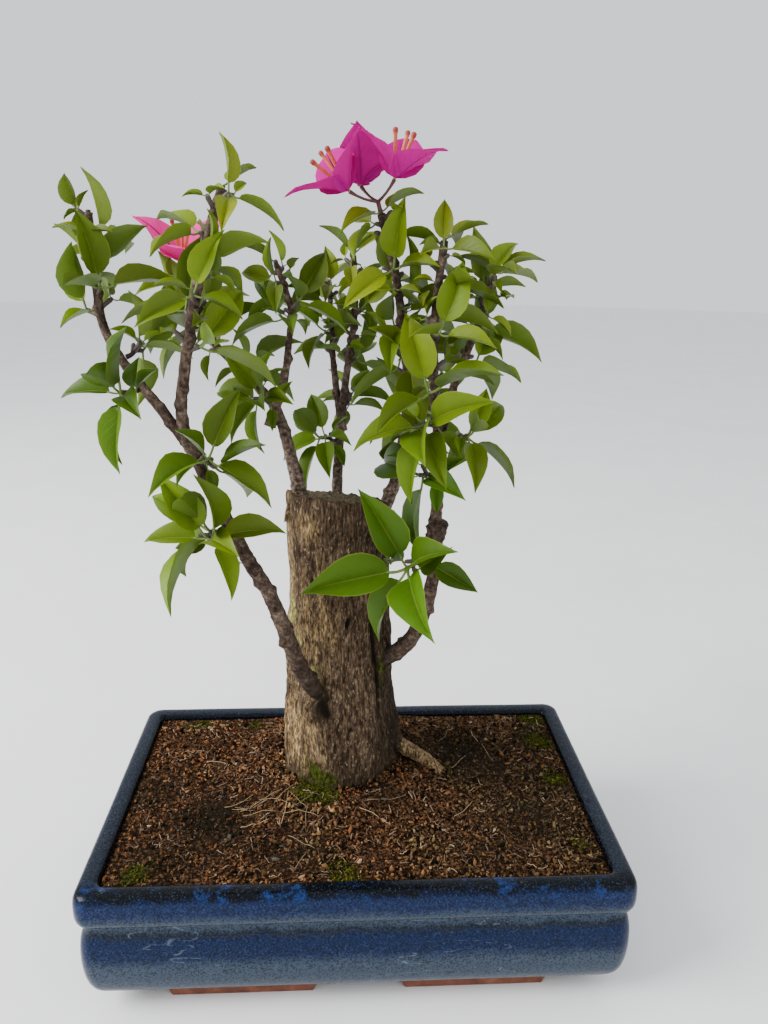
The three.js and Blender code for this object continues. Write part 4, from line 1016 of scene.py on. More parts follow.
def grow_spray(crown, owner, spray):
    draw, path = seeded(spray["seed"]), spray["path"]
    first, last, count = spray["first"], path.length, spray["spurs"]
    spurs, blades = [], []
    for k in range(count + 1):
        is_tip = k == count
        step = first + (last - first) * (k + draw(0.1, 0.7)) / count
        distance = last if is_tip else step
        turn = math.radians(spray["turn"]) + k * GOLDEN_ANGLE + draw(-0.3, 0.3)
        along, foot = path.along(distance), path.at(distance)
        level = np.array([math.cos(turn), math.sin(turn), 0])
        out = unit(level - along * level.dot(along))
        axis = along if is_tip else unit(out * SPUR_OUT + along * SPUR_ALONG)
        tip = foot + axis * (1 if is_tip else path.radius(distance) + draw(1.5, 5))
        across, rise = square_to(axis)
        spur = {"foot": foot, "tip": tip, "axis": axis, "across": across, "rise": rise,
                "upper": unit(axis * UPPER_AXIS + UP * UPPER_UP)}
        whorl = spray["tuft"] if is_tip else spray["leaves"]
        share = (distance - first) / (last - first)
        size = spray["leaf"] * (1 - spray["shrink"] * share)
        spin = draw(0, 2 * math.pi)
        if not crown.is_apart(tip[None], owner, 0):
            continue
        crown.take(tip[None], owner, 0)
        spurs.append(spur)
        for j in range(whorl):
            for _ in range(TRIES):
                blade = try_leaf(draw, spur, spin + j * 2 * math.pi / whorl, size)
                samples = blade_points(blade, SAMPLE_ALONG, SAMPLE_ACROSS)
                stalk = tip + (blade["base"] - tip) * SAMPLE_STALK
                if crown.is_clear(samples, owner) and crown.is_apart(stalk, owner, 0):
                    crown.take(samples, owner, crown.own)
                    crown.take(stalk, owner, 0)
                    young = share * (SHOOT_YOUTH if spray["is_shoot"] else 1)
                    blades.append({**blade, "young": young, "green": spray["green"]})
                    break
    return spurs, blades


grown = [grow_spray(crown, number, spray) for number, spray in enumerate(sprays)]
print({spray["name"]: len(blades) for spray, (_, blades) in zip(sprays, grown)})
for spray, (_, blades) in zip(sprays, grown):
    points = np.concatenate([blade_points(blade, [0.4, 0.4, 1], [-1, 1, 0]) for blade in blades])
    low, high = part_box("foliage_" + spray["name"])
    over = max((np.array(low) / MM - points.min(0)).max(), (points.max(0) - np.array(high) / MM).max())
    assert over < STRAY_LIMIT, f"{spray['name']} leaves its solid by {over} mm"

# %% [markdown]
# ## Filling in
# Between its full-sized leaves a spray also has small ones that were too small for the solids. They follow
# the same rule, carried finer: more spurs, shorter leaves and less room between them, inside the same
# reach.

# %% Small leaves
FINE_LEAF, FINE_SPURS, FINE_WHORL, FINE_TUFT = 0.5, 1.6, 2, 3
FINE_SEED, FINE_TURN, FIRST_FINE = 500, 70, 200
FINE_ROOM, FINE_OWN_ROOM = 1.6, 1.2
crown.between, crown.own = FINE_ROOM, FINE_OWN_ROOM
fine = []
for number, spray in enumerate(sprays):
    finer = {**spray, "leaf": spray["leaf"] * FINE_LEAF, "spurs": round(spray["spurs"] * FINE_SPURS) + 1,
             "seed": spray["seed"] + FINE_SEED, "turn": spray["turn"] + FINE_TURN, "leaves": FINE_WHORL,
             "tuft": FINE_TUFT}
    crown.rooms[crown.owners == number] = FINE_OWN_ROOM
    fine.append(grow_spray(crown, FIRST_FINE + number, finer))
print(sum(len(blades) for _, blades in fine), "small leaves")


# %% [markdown]
# ## The pattern of a leaf
# One leaf is a thin shell of a few dozen faces: an upper skin with a crease, a lower skin, and a sharp rim
# between them. Solidifying hundreds of sheets would double their faces, so the pattern is written once,
# with an underside of only two strips that meet below the midrib, and every leaf shares it.

# %% Leaf pattern
ALONG = np.array([0.04, 0.13, 0.26, 0.41, 0.56, 0.71, 0.85, 0.95])
UPPER_ACROSS = np.array([-1, -0.5, 0, 0.5, 1])
MIDRIB = 2


def shell_pattern():
    rows, wide = len(ALONG), len(UPPER_ACROSS)
    base, tip, middle = rows * wide, rows * wide + 1, rows * wide + 2
    faces, under = [], []
    for row in range(rows - 1):
        for k in range(wide - 1):
            near, far = row * wide + k, (row + 1) * wide + k
            faces.append((near, near + 1, far + 1, far))
            under.append(0)
        for edge, flip in ((0, False), (wide - 1, True)):
            quad = (row * wide + edge, (row + 1) * wide + edge, middle + row + 1, middle + row)
            faces.append(quad[::-1] if flip else quad)
            under.append(1)
    for end, row in ((base, 0), (tip, rows - 1)):
        for k in range(wide - 1):
            pair = (row * wide + k + 1, row * wide + k)
            faces.append((end, *(pair if end == base else pair[::-1])))
            under.append(0)
        for edge in (0, wide - 1):
            pair = (row * wide + edge, middle + row)
            faces.append((end, *(pair if (end == base) == (edge == 0) else pair[::-1])))
            under.append(1)
    return faces, under


LEAF_FACES, IS_UNDER = shell_pattern()
print("a leaf has", len(LEAF_FACES), "faces,", sum(IS_UNDER), "of them below")

# %% [markdown]
# ## Leaf shells
# The rule gives the plain blade. A real one also ripples at its edge, bellies between midrib and rim, hooks
# down at its tip and, for a leaf but not for a bract, folds a little more along the midrib, which makes it
# narrower. All shells are worked out as one array and joined. Each point keeps how far along and across it
# lies as a UV, and each face keeps its colour and whether it is an underside.

# %% Leaf shells
RIPPLES, BELLY, TIP_HOOK, HOOK_START, MORE_FOLD, NARROWING = 11, 0.12, 0.5, 0.68, 0.05, 0.07
FIRST_SHELL_SEED = 900


def shell_points(blade, thick, wave, fold, seed):
    draw = seeded(seed)
    phase, tilt = draw(0, 6.28), draw(-1, 1)
    along = np.append(np.repeat(ALONG, len(UPPER_ACROSS)), [0, 1])
    across = np.append(np.tile(UPPER_ACROSS, len(ALONG)), [0, 0])
    points = blade_points(blade, along, across)
    aside, arch = np.abs(across), np.sin(along * math.pi)
    ripple = wave * across ** 2 * np.sin(along * RIPPLES + phase + across * (1 + tilt))
    hook = TIP_HOOK * np.clip(along - HOOK_START, 0, 1) ** 2
    lift = ripple - hook + MORE_FOLD * fold * aside * arch + BELLY * aside * (1 - aside) * arch
    drawn_in = NARROWING * fold * half_width(along) * across
    points += (lift * blade["length"])[:, None] * blade["normal"]
    points -= (drawn_in * blade["width"])[:, None] * blade["side"]
    spine = points[np.arange(len(ALONG)) * len(UPPER_ACROSS) + MIDRIB] - blade["normal"] * thick
    uv = np.stack([across / 2 + 0.5, along], 1)
    spine_uv = np.stack([np.full(len(ALONG), 0.5), ALONG], 1)
    return np.concatenate([points, spine]), np.concatenate([uv, spine_uv])


def sharpen_rims(mesh, size):
    bm = bmesh.new()
    bm.from_mesh(mesh)
    flag = bm.faces.layers.float["under"]
    bmesh.ops.recalc_face_normals(bm, faces=bm.faces)
    for edge in bm.edges:
        is_rib = {point.index % size % len(UPPER_ACROSS) for point in edge.verts} == {MIDRIB}
        edge.smooth = len({face[flag] for face in edge.link_faces}) == 1 and not is_rib
    bm.to_mesh(mesh)
    bm.free()


def join_shells(name, blades, colours, thick, wave, fold):
    shells = [shell_points(blade, thick, wave, fold, FIRST_SHELL_SEED + number)
              for number, blade in enumerate(blades)]
    size = len(shells[0][0])
    points = np.concatenate([shell for shell, _ in shells]) * MM
    mesh = bpy.data.meshes.new(name)
    mesh.from_pydata(points.tolist(), [], [tuple(corner + number * size for corner in face)
                                           for number in range(len(blades)) for face in LEAF_FACES])
    corners = np.zeros(len(mesh.loops), np.int32)
    mesh.loops.foreach_get("vertex_index", corners)
    uv = np.concatenate([uv for _, uv in shells])[corners]
    mesh.uv_layers.new(name="blade").data.foreach_set("uv", uv.astype(np.float32).ravel())
    mesh.attributes.new("under", "FLOAT", "FACE").data.foreach_set("value", np.tile(IS_UNDER, len(blades)))
    dealt = np.repeat(np.array([(*colour, 1) for colour in colours], np.float32), len(LEAF_FACES), 0)
    mesh.attributes.new("dealt", "FLOAT_COLOR", "FACE").data.foreach_set("color", dealt.ravel())
    sharpen_rims(mesh, size)
    return mesh


# %% [markdown]
# ## Greens
# Leaves in the shade are deep green and those in the sun yellower, so each spray is dealt one of four
# greens. A leaf near a tip is younger and paler, and each leaf's own brightness and hue vary a little.

# %% Greens
GREENS = {"deep": (0.098, 0.175, 0.001), "middle": (0.125, 0.205, 0.001), "fresh": (0.145, 0.218, 0.001),
          "shade": (0.056, 0.128, 0.001)}
YOUNG_GREEN, YOUNG_SHARE = np.array((0.27, 0.32, 0.006)), 0.55


def leaf_colours(blades, seed):
    draw = seeded(seed)
    for blade in blades:
        young = YOUNG_SHARE * blade["young"] ** 2 * draw(0.5, 1.2)
        colour = np.array(GREENS[blade["green"]]) * (1 - young) + YOUNG_GREEN * young
        yield colour * draw(0.68, 1.35) * np.array((draw(0.92, 1.1), 1, draw(0.8, 1.2)))


blades = [blade for _, blades in grown for blade in blades]
small = [blade for _, blades in fine for blade in blades]
print(len(blades), "leaves and", len(small), "small ones to colour")

# %% [markdown]
# ## Leaf finish
# A bougainvillea leaf is satin: a fine pale midrib, faint side veins that curve forward, a thin yellowish
# rim of painted rim light and a paler, duller underside. The veins are drawn from the leaf's own UV. Some
# light comes through the blade, so part of the shader is translucent.

# %% Leaf finish
VEINS, VEIN_SLANT, SIDE_VEIN_SHARE = 7.5, 5.5, 0.35


# The rim colour is painted along the blade's edge as a highlight, rim light where light catches it.
def blade_finish(name, vein, rim_light, under, glow, roughness, sheen):
    finish = Finish(name)
    uv = finish.add("SeparateXYZ", {0: finish.add("UVMap", uv_map="blade").outputs["UV"]}).outputs
    aside = finish.apart(uv["X"], 0.5)
    lines = finish.calc("SUBTRACT", finish.times(uv["Y"], VEINS), finish.times(aside, VEIN_SLANT))
    saw = finish.apart(finish.calc("FRACT", lines), 0.5)
    midrib = finish.fade(aside, 0.034, 0.014)
    veins = finish.times(finish.fade(saw, 0.06, 0.0), finish.fade(aside, 0.46, 0.1))
    edge = finish.fade(aside, 0.468, 0.492)
    clouds = finish.noise(finish.spots(), 260, 4)
    shaded = finish.mottle(finish.stored("dealt", "Color"), clouds, 0.25, 0.8, 0.82)
    ribbed = finish.mix(finish.times(midrib, vein[1]), shaded, vein[0])
    veined = finish.mix(finish.times(veins, vein[1] * SIDE_VEIN_SHARE), ribbed, vein[0])
    rim_lit = finish.mix(finish.times(edge, rim_light[1]), veined, rim_light[0])
    colour = finish.mix(finish.stored("under"), rim_lit, finish.mix(under[1], rim_lit, under[0]))
    finish.coat(colour, roughness, sheen)
    finish.bump(finish.calc("ADD", finish.times(midrib, -0.3), finish.times(veins, -0.4)), 0.5, 0.0004)
    through = finish.add("BsdfTranslucent", {"Color": finish.mix(0.6, colour, glow[0])})
    blend = finish.add("MixShader", {0: glow[1], 1: finish.shader.outputs[0], 2: through.outputs[0]})
    finish.feed(finish.output.inputs["Surface"], blend.outputs[0])
    return finish


leaf_skin = blade_finish(
    "leaf_skin", vein=((0.4, 0.48, 0.12), 0.27), rim_light=((0.26, 0.3, 0.03), 0.55),
    under=((0.12, 0.19, 0.035), 0.5), glow=((0.28, 0.44, 0.002), 0.24), roughness=0.42, sheen=0.22)
leaf_mesh = join_shells("leaves", blades, leaf_colours(blades, 3), thick=0.45, wave=0.012, fold=1)
add_piece("leaves", leaf_mesh, leaf_skin, ["foliage_" + spray["name"] for spray in sprays])
small_mesh = join_shells("small_leaves", small, leaf_colours(small, 4), thick=0.35, wave=0.012, fold=1)
add_piece("small_leaves", small_mesh, leaf_skin)

# %% [markdown]
# ## Bract finish
# Bracts are papery: magenta with darker veins, nearly matte, and they glow when light stands behind them.
# The lower flower has faded to a lighter pink. They are leaves to the plant, so the leaf's finish serves
# again with other colours.

# %% Bract shells
bract_paper = blade_finish(
    "bract_paper", vein=((0.15, 0.001, 0.055), 0.95), rim_light=((0.58, 0.005, 0.3), 0.3),
    under=((0.7, 0.012, 0.42), 0.35), glow=((1, 0.006, 0.52), 0.34), roughness=0.65, sheen=0.06)
MAGENTA, FADED_PINK = (0.53, 0.0005, 0.28), (1, 0.065, 0.44)
draw = seeded(77)
for name, colour in (("bloom_top", MAGENTA), ("bloom_left", FADED_PINK)):
    colours = [np.array(colour) * draw(0.82, 1.15) for _ in blooms[name]]
    bract_mesh = join_shells(name, blooms[name], colours, thick=0.35, wave=0.03, fold=0)
    add_piece(name + "_bracts", bract_mesh, bract_paper, [name])

# %% [markdown]
# ## Thin round things
# Shoots, stalks, flower tubes and straw are all swept rings of a few sides. A curve with a bevel could make
# one, but hundreds are wanted in one mesh, so a small class collects their rings and joins them. Each ring
# is dealt its colour, so one plain finish with a little noise serves them all.

# %% Tubes
class Tubes:
    def __init__(self, sides):
        self.sides, self.points, self.faces, self.colours = sides, [], [], []

    def add(self, spots, radii, colours):
        sides, start = self.sides, len(self.points)
        spots = [np.array(spot, float) for spot in spots]
        across, _ = square_to(unit(spots[1] - spots[0]))
        for row, (spot, radius, colour) in enumerate(zip(spots, radii, colours)):
            along = unit(spots[min(row + 1, len(spots) - 1)] - spots[max(row - 1, 0)])
            across = unit(across - along * across.dot(along))
            rise = np.cross(along, across)
            for k in range(sides):
                angle = 2 * math.pi * k / sides
                self.points.append(spot + radius * (across * math.cos(angle) + rise * math.sin(angle)))
                self.colours.append((*colour, 1))
        for row in range(len(spots) - 1):
            for k in range(sides):
                a, b = start + row * sides + k, start + row * sides + (k + 1) % sides
                self.faces.append((a, b, b + sides, a + sides))
        last = start + (len(spots) - 1) * sides
        self.faces.append(tuple(range(start + sides - 1, start - 1, -1)))
        self.faces.append(tuple(range(last, last + sides)))

    def mesh(self, name):
        mesh = bpy.data.meshes.new(name)
        mesh.from_pydata((np.array(self.points) * MM).tolist(), [], self.faces)
        colours = np.array(self.colours, np.float32)
        mesh.attributes.new("dealt", "FLOAT_COLOR", "POINT").data.foreach_set("color", colours.ravel())
        return mesh


def bowed(start, end, bow, count=5):
    shares = np.linspace(0, 1, count)[:, None]
    return start + (end - start) * shares + bow * np.sin(shares * math.pi)


stalk_skin = Finish("stalk_skin")
clouds = stalk_skin.noise(stalk_skin.spots(), 700, 4)
stalk_skin.coat(stalk_skin.mottle(stalk_skin.stored("dealt", "Color"), clouds, 0.3, 0.75, 0.7), 0.6)
stalk_skin.bump(clouds, 0.4, 0.0003)
print("one finish for all stalks:", stalk_skin.material.name)

# %% [markdown]
# ## Twigs and leaf stalks
# A shoot is thicker than a leaf stalk and brown as the limb that it grows from. A spur is a short knob
# where a whorl of leaves sits, and each leaf has a green stalk that sags a little and runs on into its
# midrib.

# %% Twigs
TWIG_BROWN, STALK_GREEN = (0.07, 0.05, 0.035), (0.13, 0.2, 0.025)
SHOOT_RINGS, SHOOT_FULL = 7, 1.05
SPUR_SHARES, SPUR_RADII = (0, 0.5, 0.9, 1.1), (1.1, 0.95, 1.1, 0.6)
STALK_RADII, STALK_LEAST = np.array((0.016, 0.014, 0.013, 0.014, 0.012)), 0.14
STALK_SAG, STALK_RUN_ON = 0.02, 0.04
twigs = Tubes(6)
for spray, (spurs, spray_blades) in [*zip(sprays, grown), *zip(sprays, fine)]:
    if spray["is_shoot"]:
        path = spray["path"]
        steps = np.linspace(0, path.length, SHOOT_RINGS)
        radii = [path.radius(step) * SHOOT_FULL for step in steps]
        twigs.add([path.at(step) for step in steps], radii, [TWIG_BROWN] * SHOOT_RINGS)
    for spur in spurs:
        line = [spur["foot"] + (spur["tip"] - spur["foot"]) * share for share in SPUR_SHARES]
        twigs.add(line, SPUR_RADII, [TWIG_BROWN] * len(SPUR_RADII))
    for blade in spray_blades:
        end = blade["base"] + blade["forward"] * blade["length"] * STALK_RUN_ON
        line = bowed(blade["spur"], end, -UP * blade["length"] * STALK_SAG)
        twigs.add(line, STALK_RADII * blade["length"] + STALK_LEAST, [STALK_GREEN] * len(STALK_RADII))
print("twigs and leaf stalks have", len(twigs.points), "points")

# %% [markdown]
# ## Flower stalks and tubes
# A flower hangs on a thin dark red stalk. A tube starts at the foot of its bract, is a little narrower in
# its middle and ends in a closed, swollen bud that is darker than the salmon below it.

# %% Flower tubes
SALMON, BUD_RED = (0.72, 0.19, 0.07), (0.32, 0.035, 0.02)
TUBE_FOOT, STALK_RED = (0.5, 0.3, 0.06), (0.11, 0.03, 0.025)
KNOT_RADII, FLOWER_STALK_RADII, FLOWER_STALK_SAG = (1.2, 1, 1), (0.75, 0.6, 0.55, 0.6, 0.9), 0.8
TUBE_SHARES = (0, 0.15, 0.4, 0.7, 0.86, 0.93, 0.98, 1)
TUBE_RADII = (0.45, 0.85, 0.66, 0.72, 0.82, 1.08, 1.0, 0.4)
TUBE_TONES = [TUBE_FOOT, *[SALMON] * 4, *[BUD_RED] * 3]
for name, (limb, flowers) in BLOOMS.items():
    start, knot = bloom_knot(limbs[limb])
    tip = start - limbs[limb].along(limbs[limb].length) * STALK_START
    twigs.add([tip, start, knot], KNOT_RADII, (TWIG_BROWN, STALK_RED, STALK_RED))
    for foot, _, _ in flowers:
        line = bowed(knot, np.array(foot, float), -UP * FLOWER_STALK_SAG)
        twigs.add(line, FLOWER_STALK_RADII, [STALK_RED] * len(FLOWER_STALK_RADII))
    for blade in blooms[name]:
        line = [blade["spur"] + (blade["tube"] - blade["spur"]) * share for share in TUBE_SHARES]
        twigs.add(line, TUBE_RADII, TUBE_TONES)
add_piece("twigs", twigs.mesh("twigs"), stalk_skin)

# %% [markdown]
# ## Soil
# The soil is a crumbly mix that rises a little towards the trunk. Its body is a lumpy sheet that closes
# against the tray's inner walls. A slow wave gives it hollows, and noise at two sizes gives it crumbs.

# %% Soil body
SOIL_EDGE, SOIL_OPEN, SOIL_MARGIN, MOUND_RADIUS, MOUND_FOOT = 60, 61.2, 14, 34, 62
LUMP_HEIGHT, LUMP_LENGTH, LUMP_SKEW = 1.5, 7.6, (19, 23)
SOIL_INSET, SOIL_ROWS = POT_WALL + 0.1, 90
CRUMB_MARGIN = 4


def ease(value, low, high):
    share = min(1, max(0, (value - low) / (high - low)))
    return share * share * (3 - 2 * share)


def soil_height(x, y):
    rise = 1 - ease(math.hypot(x - TRUNK_FOOT.x, y - TRUNK_FOOT.y), MOUND_RADIUS, MOUND_FOOT)
    wall = min(POT_WIDTH / 2 - abs(x), POT_DEPTH / 2 - abs(y)) - POT_WALL
    lumps = math.sin(x / LUMP_LENGTH + y / LUMP_SKEW[0]) * math.cos(y / LUMP_LENGTH - x / LUMP_SKEW[1])
    level = SOIL_EDGE + (SOIL_OPEN - SOIL_EDGE + LUMP_HEIGHT * lumps) * ease(wall, 0, SOIL_MARGIN)
    spot = Vector((x, y, 0))
    crumbs = noise.noise(spot * 0.17) * 0.7 + noise.noise(spot * 0.45) * 0.6
    return level + (SOIL_TOP - level) * rise + crumbs * ease(wall, 0, CRUMB_MARGIN)


def soil_place(turn, share):
    row = round(share * SOIL_ROWS)
    if row == 0:
        return Vector((0, 0, POT_FLOOR + FIT))
    if row == 1:
        return tray_point(turn, SOIL_INSET, POT_FLOOR + FIT)
    edge = tray_point(turn, SOIL_INSET, 0)
    middle = Vector((TRUNK_FOOT.x, TRUNK_FOOT.y, 0))
    spot = edge.lerp(middle, (row - 2) / (SOIL_ROWS - 2))
    spot.z = soil_height(spot.x, spot.y)
    return spot


bm = bmesh.new()
roll_sheet(bm, TRAY_SIDES, SOIL_ROWS, soil_place)
soil_mesh = close_mesh(bm, "soil_body")
print("the soil's skin has", len(soil_mesh.vertices), "points")

# %% [markdown]
# ## Where moss, damp and painted shade lie
# Moss grows at the trunk's foot, by the walls and in a few spots in front. The soil stays dark and damp in
# hollows, and dark beds round the surface root and the trunk's right foot are painted shade. Each bed is a
# middle, a reach and a strength, and the tint fades out from it. Between the beds the body is painted dark
# as shade in the gaps between the grains.

# %% Soil finish
MOSS_BEDS = [
    ((-23, -12), 9, 1), ((-15, -16), 8, 0.8), ((-7, -59), 9, 0.8), ((102, 4), 8, 0.8), ((101, 37), 9, 0.9),
    ((102, -46), 7, 0.5), ((-97, -57), 9, 0.6), ((-88, 59), 8, 0.9), ((-57, 56), 7, 0.6),
    ((104, 61), 9, 0.8)]
# Some beds are wet soil; those round the trunk's right foot and the surface root are painted shade.
DAMP_AND_SHADE_BEDS = [
    ((55, 27), 26, 1), ((72, 12), 18, 0.8), ((-70, -25), 20, 1), ((-101, -3), 15, 0.8), ((27, 22), 12, 1),
    ((-38, -43), 16, 0.6), ((82, -26), 24, 0.7), ((98, 38), 18, 0.7), ((-90, -54), 20, 0.7),
    ((14, -13), 9, 0.7), ((60, -46), 16, 0.5), ((-20, -50), 12, 0.5), ((100, 2), 20, 0.6)]
SOIL_SHADE_BLACK, SOIL_DARK, SOIL_MID = (0.003, 0.0015, 0.001), (0.02, 0.009, 0.004), (0.11, 0.054, 0.024)
SOIL_PALE, WET_SOIL_AND_SHADE = (0.28, 0.17, 0.09), (0.01, 0.009, 0.006)


def bed_strength(beds, x, y):
    ragged = 1 + 0.5 * noise.noise(Vector((x, y, 3)) * 0.16)
    return max(strong * math.exp(-((x - at[0]) ** 2 + (y - at[1]) ** 2) * ragged / reach ** 2)
               for at, reach, strong in beds)


store(soil_mesh, "moss", [bed_strength(MOSS_BEDS, *(point.co.xy / MM)) for point in soil_mesh.vertices])
store(soil_mesh, "damp_and_shade", [bed_strength(DAMP_AND_SHADE_BEDS, *(point.co.xy / MM)) for point in soil_mesh.vertices])
earth = Finish("soil_earth")
crumbs = earth.noise(earth.spots(), 620, 6, 0.75)
# The darkest stops of this ramp paint shade in the gaps between the crumbs.
tone = earth.ramp(crumbs, (0.36, SOIL_SHADE_BLACK), (0.49, SOIL_DARK), (0.58, SOIL_MID), (0.7, SOIL_PALE))
# This mix darkens wet soil and paints shade round the surface root.
damp_and_shade = earth.mix(earth.times(earth.stored("damp_and_shade"), 0.85), tone, WET_SOIL_AND_SHADE)
fuzz = earth.ramp(crumbs, (0.4, (0.01, 0.018, 0.002)), (0.62, (0.07, 0.1, 0.01)))
earth.coat(earth.mix(earth.fade(earth.stored("moss"), 0.3, 0.75), damp_and_shade, fuzz), 0.95, 0.05)
earth.bump(crumbs, 1.0, 0.002)
add_piece("soil_body", soil_mesh, earth, ["soil"])

# %% [markdown]
# ## Scattering
# Loose grains make soil look like soil. Instances would be lighter, but a piece has to be one mesh, so
# small facetted pebbles are copied from one icosphere with seeded turns, stretches and colours, and joined.

# %% Scatter
rng = np.random.default_rng(12)
TRUNK_CLEAR = 30


def in_tray(count, margin):
    spots = rng.uniform((-1, -1), (1, 1), (count * 2, 2)) * (
        POT_WIDTH / 2 - POT_WALL - margin, POT_DEPTH / 2 - POT_WALL - margin)
    away = np.hypot(spots[:, 0] - TRUNK_FOOT.x, spots[:, 1] - TRUNK_FOOT.y)
    return spots[away > TRUNK_CLEAR][:count]


def random_turns(count):
    axes = np.linalg.qr(rng.normal(size=(count, 3, 3)))[0]
    axes[np.linalg.det(axes) < 0, 0] *= -1
    return axes


def scatter(name, spots, sizes, colours, squash, lift):
    bm = bmesh.new()
    bmesh.ops.create_icosphere(bm, subdivisions=1, radius=1)
    ball = np.array([point.co for point in bm.verts])
    faces = np.array([[point.index for point in face.verts] for face in bm.faces])
    bm.free()
    count = len(spots)
    shapes = ball[None] * rng.uniform(0.5, 1.35, (count, len(ball), 1)) * np.array((1.2, squash, squash))
    turned = np.einsum("nij,nvj->nvi", random_turns(count), shapes) * np.asarray(sizes)[:, None, None]
    heights = np.array([soil_height(x, y) for x, y in spots]) + np.asarray(sizes) * lift
    points = turned + np.column_stack([spots, heights])[:, None]
    every = faces[None] + (np.arange(count) * len(ball))[:, None, None]
    mesh = bpy.data.meshes.new(name)
    mesh.from_pydata((points.reshape(-1, 3) * MM).tolist(), [], every.reshape(-1, 3).tolist())
    dealt = np.repeat(np.column_stack([colours, np.ones(count)]), len(ball), 0).astype(np.float32)
    mesh.attributes.new("dealt", "FLOAT_COLOR", "POINT").data.foreach_set("color", dealt.ravel())
    return mesh


def dealt_colours(count, choices, shares, spread):
    picked = rng.choice(len(choices), count, p=shares)
    return np.array(choices)[picked] * rng.uniform(1 - spread, 1 + spread, (count, 1))


crumb = Finish("soil_crumb")
dust = crumb.noise(crumb.spots(), 900, 4)
crumb.coat(crumb.mottle(crumb.stored("dealt", "Color"), dust, 0.3, 0.75, 0.55), 0.95, 0.06)
crumb.bump(dust, 0.8, 0.0006)
print("one finish for grains and moss:", crumb.material.name)

# %% [markdown]
# ## Grains
# Most grains sink halfway into the soil's body. Some are piled against the trunk and at the end of the
# surface root, so that both look bedded in. The mix is red and brown earth, dark bits, bark and pale grit.
# Its tone drifts slowly, greyer and more olive to the right, and grains in the damp beds are dark, wet
# in hollows and painted shade round the surface root, with a few grey ones among them. None lie in the moss.

# %% Grains
RED_EARTH, BROWN_EARTH, DARK_EARTH = (0.23, 0.092, 0.035), (0.14, 0.07, 0.03), (0.005, 0.003, 0.002)
TAN_BARK, PALE_GRIT = (0.28, 0.16, 0.078), (0.36, 0.27, 0.18)
EARTHS = [RED_EARTH, BROWN_EARTH, DARK_EARTH, TAN_BARK, PALE_GRIT]
EARTH_SHARES, EARTH_SPREAD = [0.34, 0.26, 0.26, 0.12, 0.02], 0.5
WET_OLIVE_AND_SHADE, GREY_GRAIN, OLIVE_CAST = (0.016, 0.014, 0.006), (0.085, 0.08, 0.066), (0.75, 0.68, 0.28)
GRAINS, PILED, AT_ROOT_END = 9500, 900, 90
PILE_START, ROOT_END, ROOT_END_SPREAD = 28, (46, 7), (2.2, 2.6)
GRAIN_LIFT, GRAIN_SQUASH, DRIFT_SCALE, MOSS_EDGE = 0.25, 0.6, 0.04, 0.45
ways, away = rng.uniform(0, 2 * math.pi, PILED), PILE_START + rng.gamma(2, 1.7, PILED)
piled = np.column_stack([TRUNK_FOOT.x + away * np.cos(ways), TRUNK_FOOT.y + away * np.sin(ways)])
piled[:AT_ROOT_END] = rng.normal(ROOT_END, ROOT_END_SPREAD, (AT_ROOT_END, 2))
spots = np.concatenate([in_tray(GRAINS, 1.2), piled])
lifts = np.concatenate([np.full(len(spots) - PILED, GRAIN_LIFT), rng.uniform(0.2, 1.7, PILED)])
sizes = rng.lognormal(-0.5, 0.42, len(spots)).clip(0.3, 1.6)
tones = dealt_colours(len(spots), EARTHS, EARTH_SHARES, EARTH_SPREAD)
wet_and_shade = np.array([bed_strength(DAMP_AND_SHADE_BEDS, x, y) for x, y in spots])
green = np.array([bed_strength(MOSS_BEDS, x, y) for x, y in spots])
# Grains in the damp beds are darkened, wet in hollows and painted shade round the surface root.
wet_and_shade_share = (wet_and_shade[:, None] * rng.uniform(0.5, 1.3, (len(spots), 1))).clip(0, 0.92)
drift = np.array([noise.noise(Vector((x, y, 9)) * DRIFT_SCALE) for x, y in spots])
greyed = (0.15 + spots[:, 0] / 200 + 0.7 * drift).clip(0, 0.7)[:, None]
tones = tones * (1 - greyed) + tones.mean(1, keepdims=True) * np.array(OLIVE_CAST) * greyed
tones = tones * (1.15 + 0.5 * drift)[:, None]
tones = tones * (1 - wet_and_shade_share) + np.array(WET_OLIVE_AND_SHADE) * wet_and_shade_share
tones[(wet_and_shade > 0.4) & (rng.uniform(size=len(spots)) < 0.05)] = GREY_GRAIN
kept = green < MOSS_EDGE
grains_mesh = scatter("grains", spots[kept], sizes[kept], tones[kept], GRAIN_SQUASH, lifts[kept])
add_piece("grains", grains_mesh, crumb, smooth=False)

# %% [markdown]
# ## Moss
# Moss is a crowd of tiny cushions that stand thickest in the middle of each bed. They are scattered as the
# grains are: spots are sown all over the tray, and a spot is kept more often where its bed is strong.

# %% Moss
MOSS_GREENS = [(0.052, 0.056, 0.005), (0.105, 0.105, 0.01), (0.016, 0.018, 0.003)]
MOSS_SHARES, MOSS_SPREAD = [0.5, 0.2, 0.3], 0.35
SOWN, CUSHIONS, CUSHION_SQUASH, CUSHION_LIFT = 60000, 4200, 0.9, 0.6
sown = in_tray(SOWN, 1.5)
strength = np.array([bed_strength(MOSS_BEDS, x, y) for x, y in sown])
beds = sown[rng.uniform(0.25, 1.0, len(sown)) < strength][:CUSHIONS]
greens = dealt_colours(len(beds), MOSS_GREENS, MOSS_SHARES, MOSS_SPREAD)
cushions = rng.uniform(0.28, 0.62, len(beds))
moss_mesh = scatter("moss", beds, cushions, greens, CUSHION_SQUASH, CUSHION_LIFT)
add_piece("moss", moss_mesh, crumb, smooth=False)
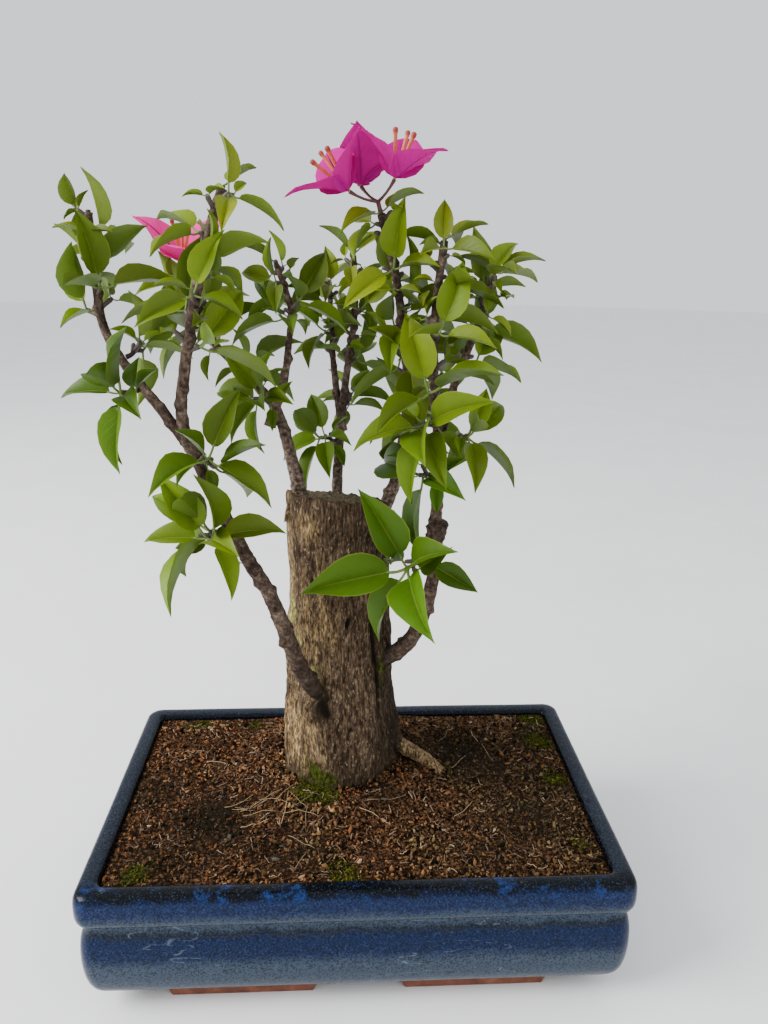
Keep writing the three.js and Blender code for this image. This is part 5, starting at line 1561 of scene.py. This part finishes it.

# %% [markdown]
# ## Straw and fibres
# Short root fibres lie all over the soil outside the damp and shaded beds, most of them brown and some dry
# and pale. A few longer straws lie among them, thickest to the left in front of the trunk. Each is a thin
# bent tube that follows the soil, and it is cut short where it would meet the tray or the trunk.

# %% Straw
STRAND_REACH, STRAND_CLEAR = (108.5, 62.5), 33
FIBRES, BROWN_SHARE, DAMP_AND_SHADE_EDGE = 1100, 0.7, 0.5
STRAWS, STRAW_HEAP, STRAW_MIDDLE, STRAW_SPREAD = 14, 10, (-44, -17), (11, 5)
STRAW = np.array((0.34, 0.25, 0.12))
BROWN_FIBRE, DRY_FIBRE = np.array((0.1, 0.05, 0.022)), np.array((0.3, 0.2, 0.12))


def strand(tubes, middle, length, radius, tone):
    way = rng.uniform(0, 2 * math.pi)
    ahead = np.array([math.cos(way), math.sin(way), 0]) * length / 2
    aside = np.array([-math.sin(way), math.cos(way), 0]) * rng.uniform(-0.08, 0.08) * length
    line = bowed(np.array([*middle, 0]) - ahead, np.array([*middle, 0]) + ahead, aside, 6)
    inside = (np.abs(line[:, :2]) < STRAND_REACH).all(1)
    clear = np.hypot(line[:, 0] - TRUNK_FOOT.x, line[:, 1] - TRUNK_FOOT.y) > STRAND_CLEAR
    line = [np.array([x, y, soil_height(x, y) + rng.uniform(0.5, 1.2)]) for x, y, _ in line[inside & clear]]
    if len(line) > 2:
        tubes.add(line, [radius] * len(line), [tone * rng.uniform(0.5, 1.3)] * len(line))


strands = Tubes(4)
for middle in in_tray(FIBRES, 4):
    if bed_strength(DAMP_AND_SHADE_BEDS, *middle) < DAMP_AND_SHADE_EDGE:
        length, radius = rng.uniform(1.5, 5), rng.uniform(0.1, 0.24)
        tone = BROWN_FIBRE if rng.uniform() < BROWN_SHARE else DRY_FIBRE
        strand(strands, middle, length, radius, tone)
for middle in [*in_tray(STRAWS, 12), *rng.normal(STRAW_MIDDLE, STRAW_SPREAD, (STRAW_HEAP, 2))]:
    strand(strands, middle, rng.uniform(8, 22), rng.uniform(0.1, 0.19), STRAW)
add_piece("straw", strands.mesh("straw"), stalk_skin)
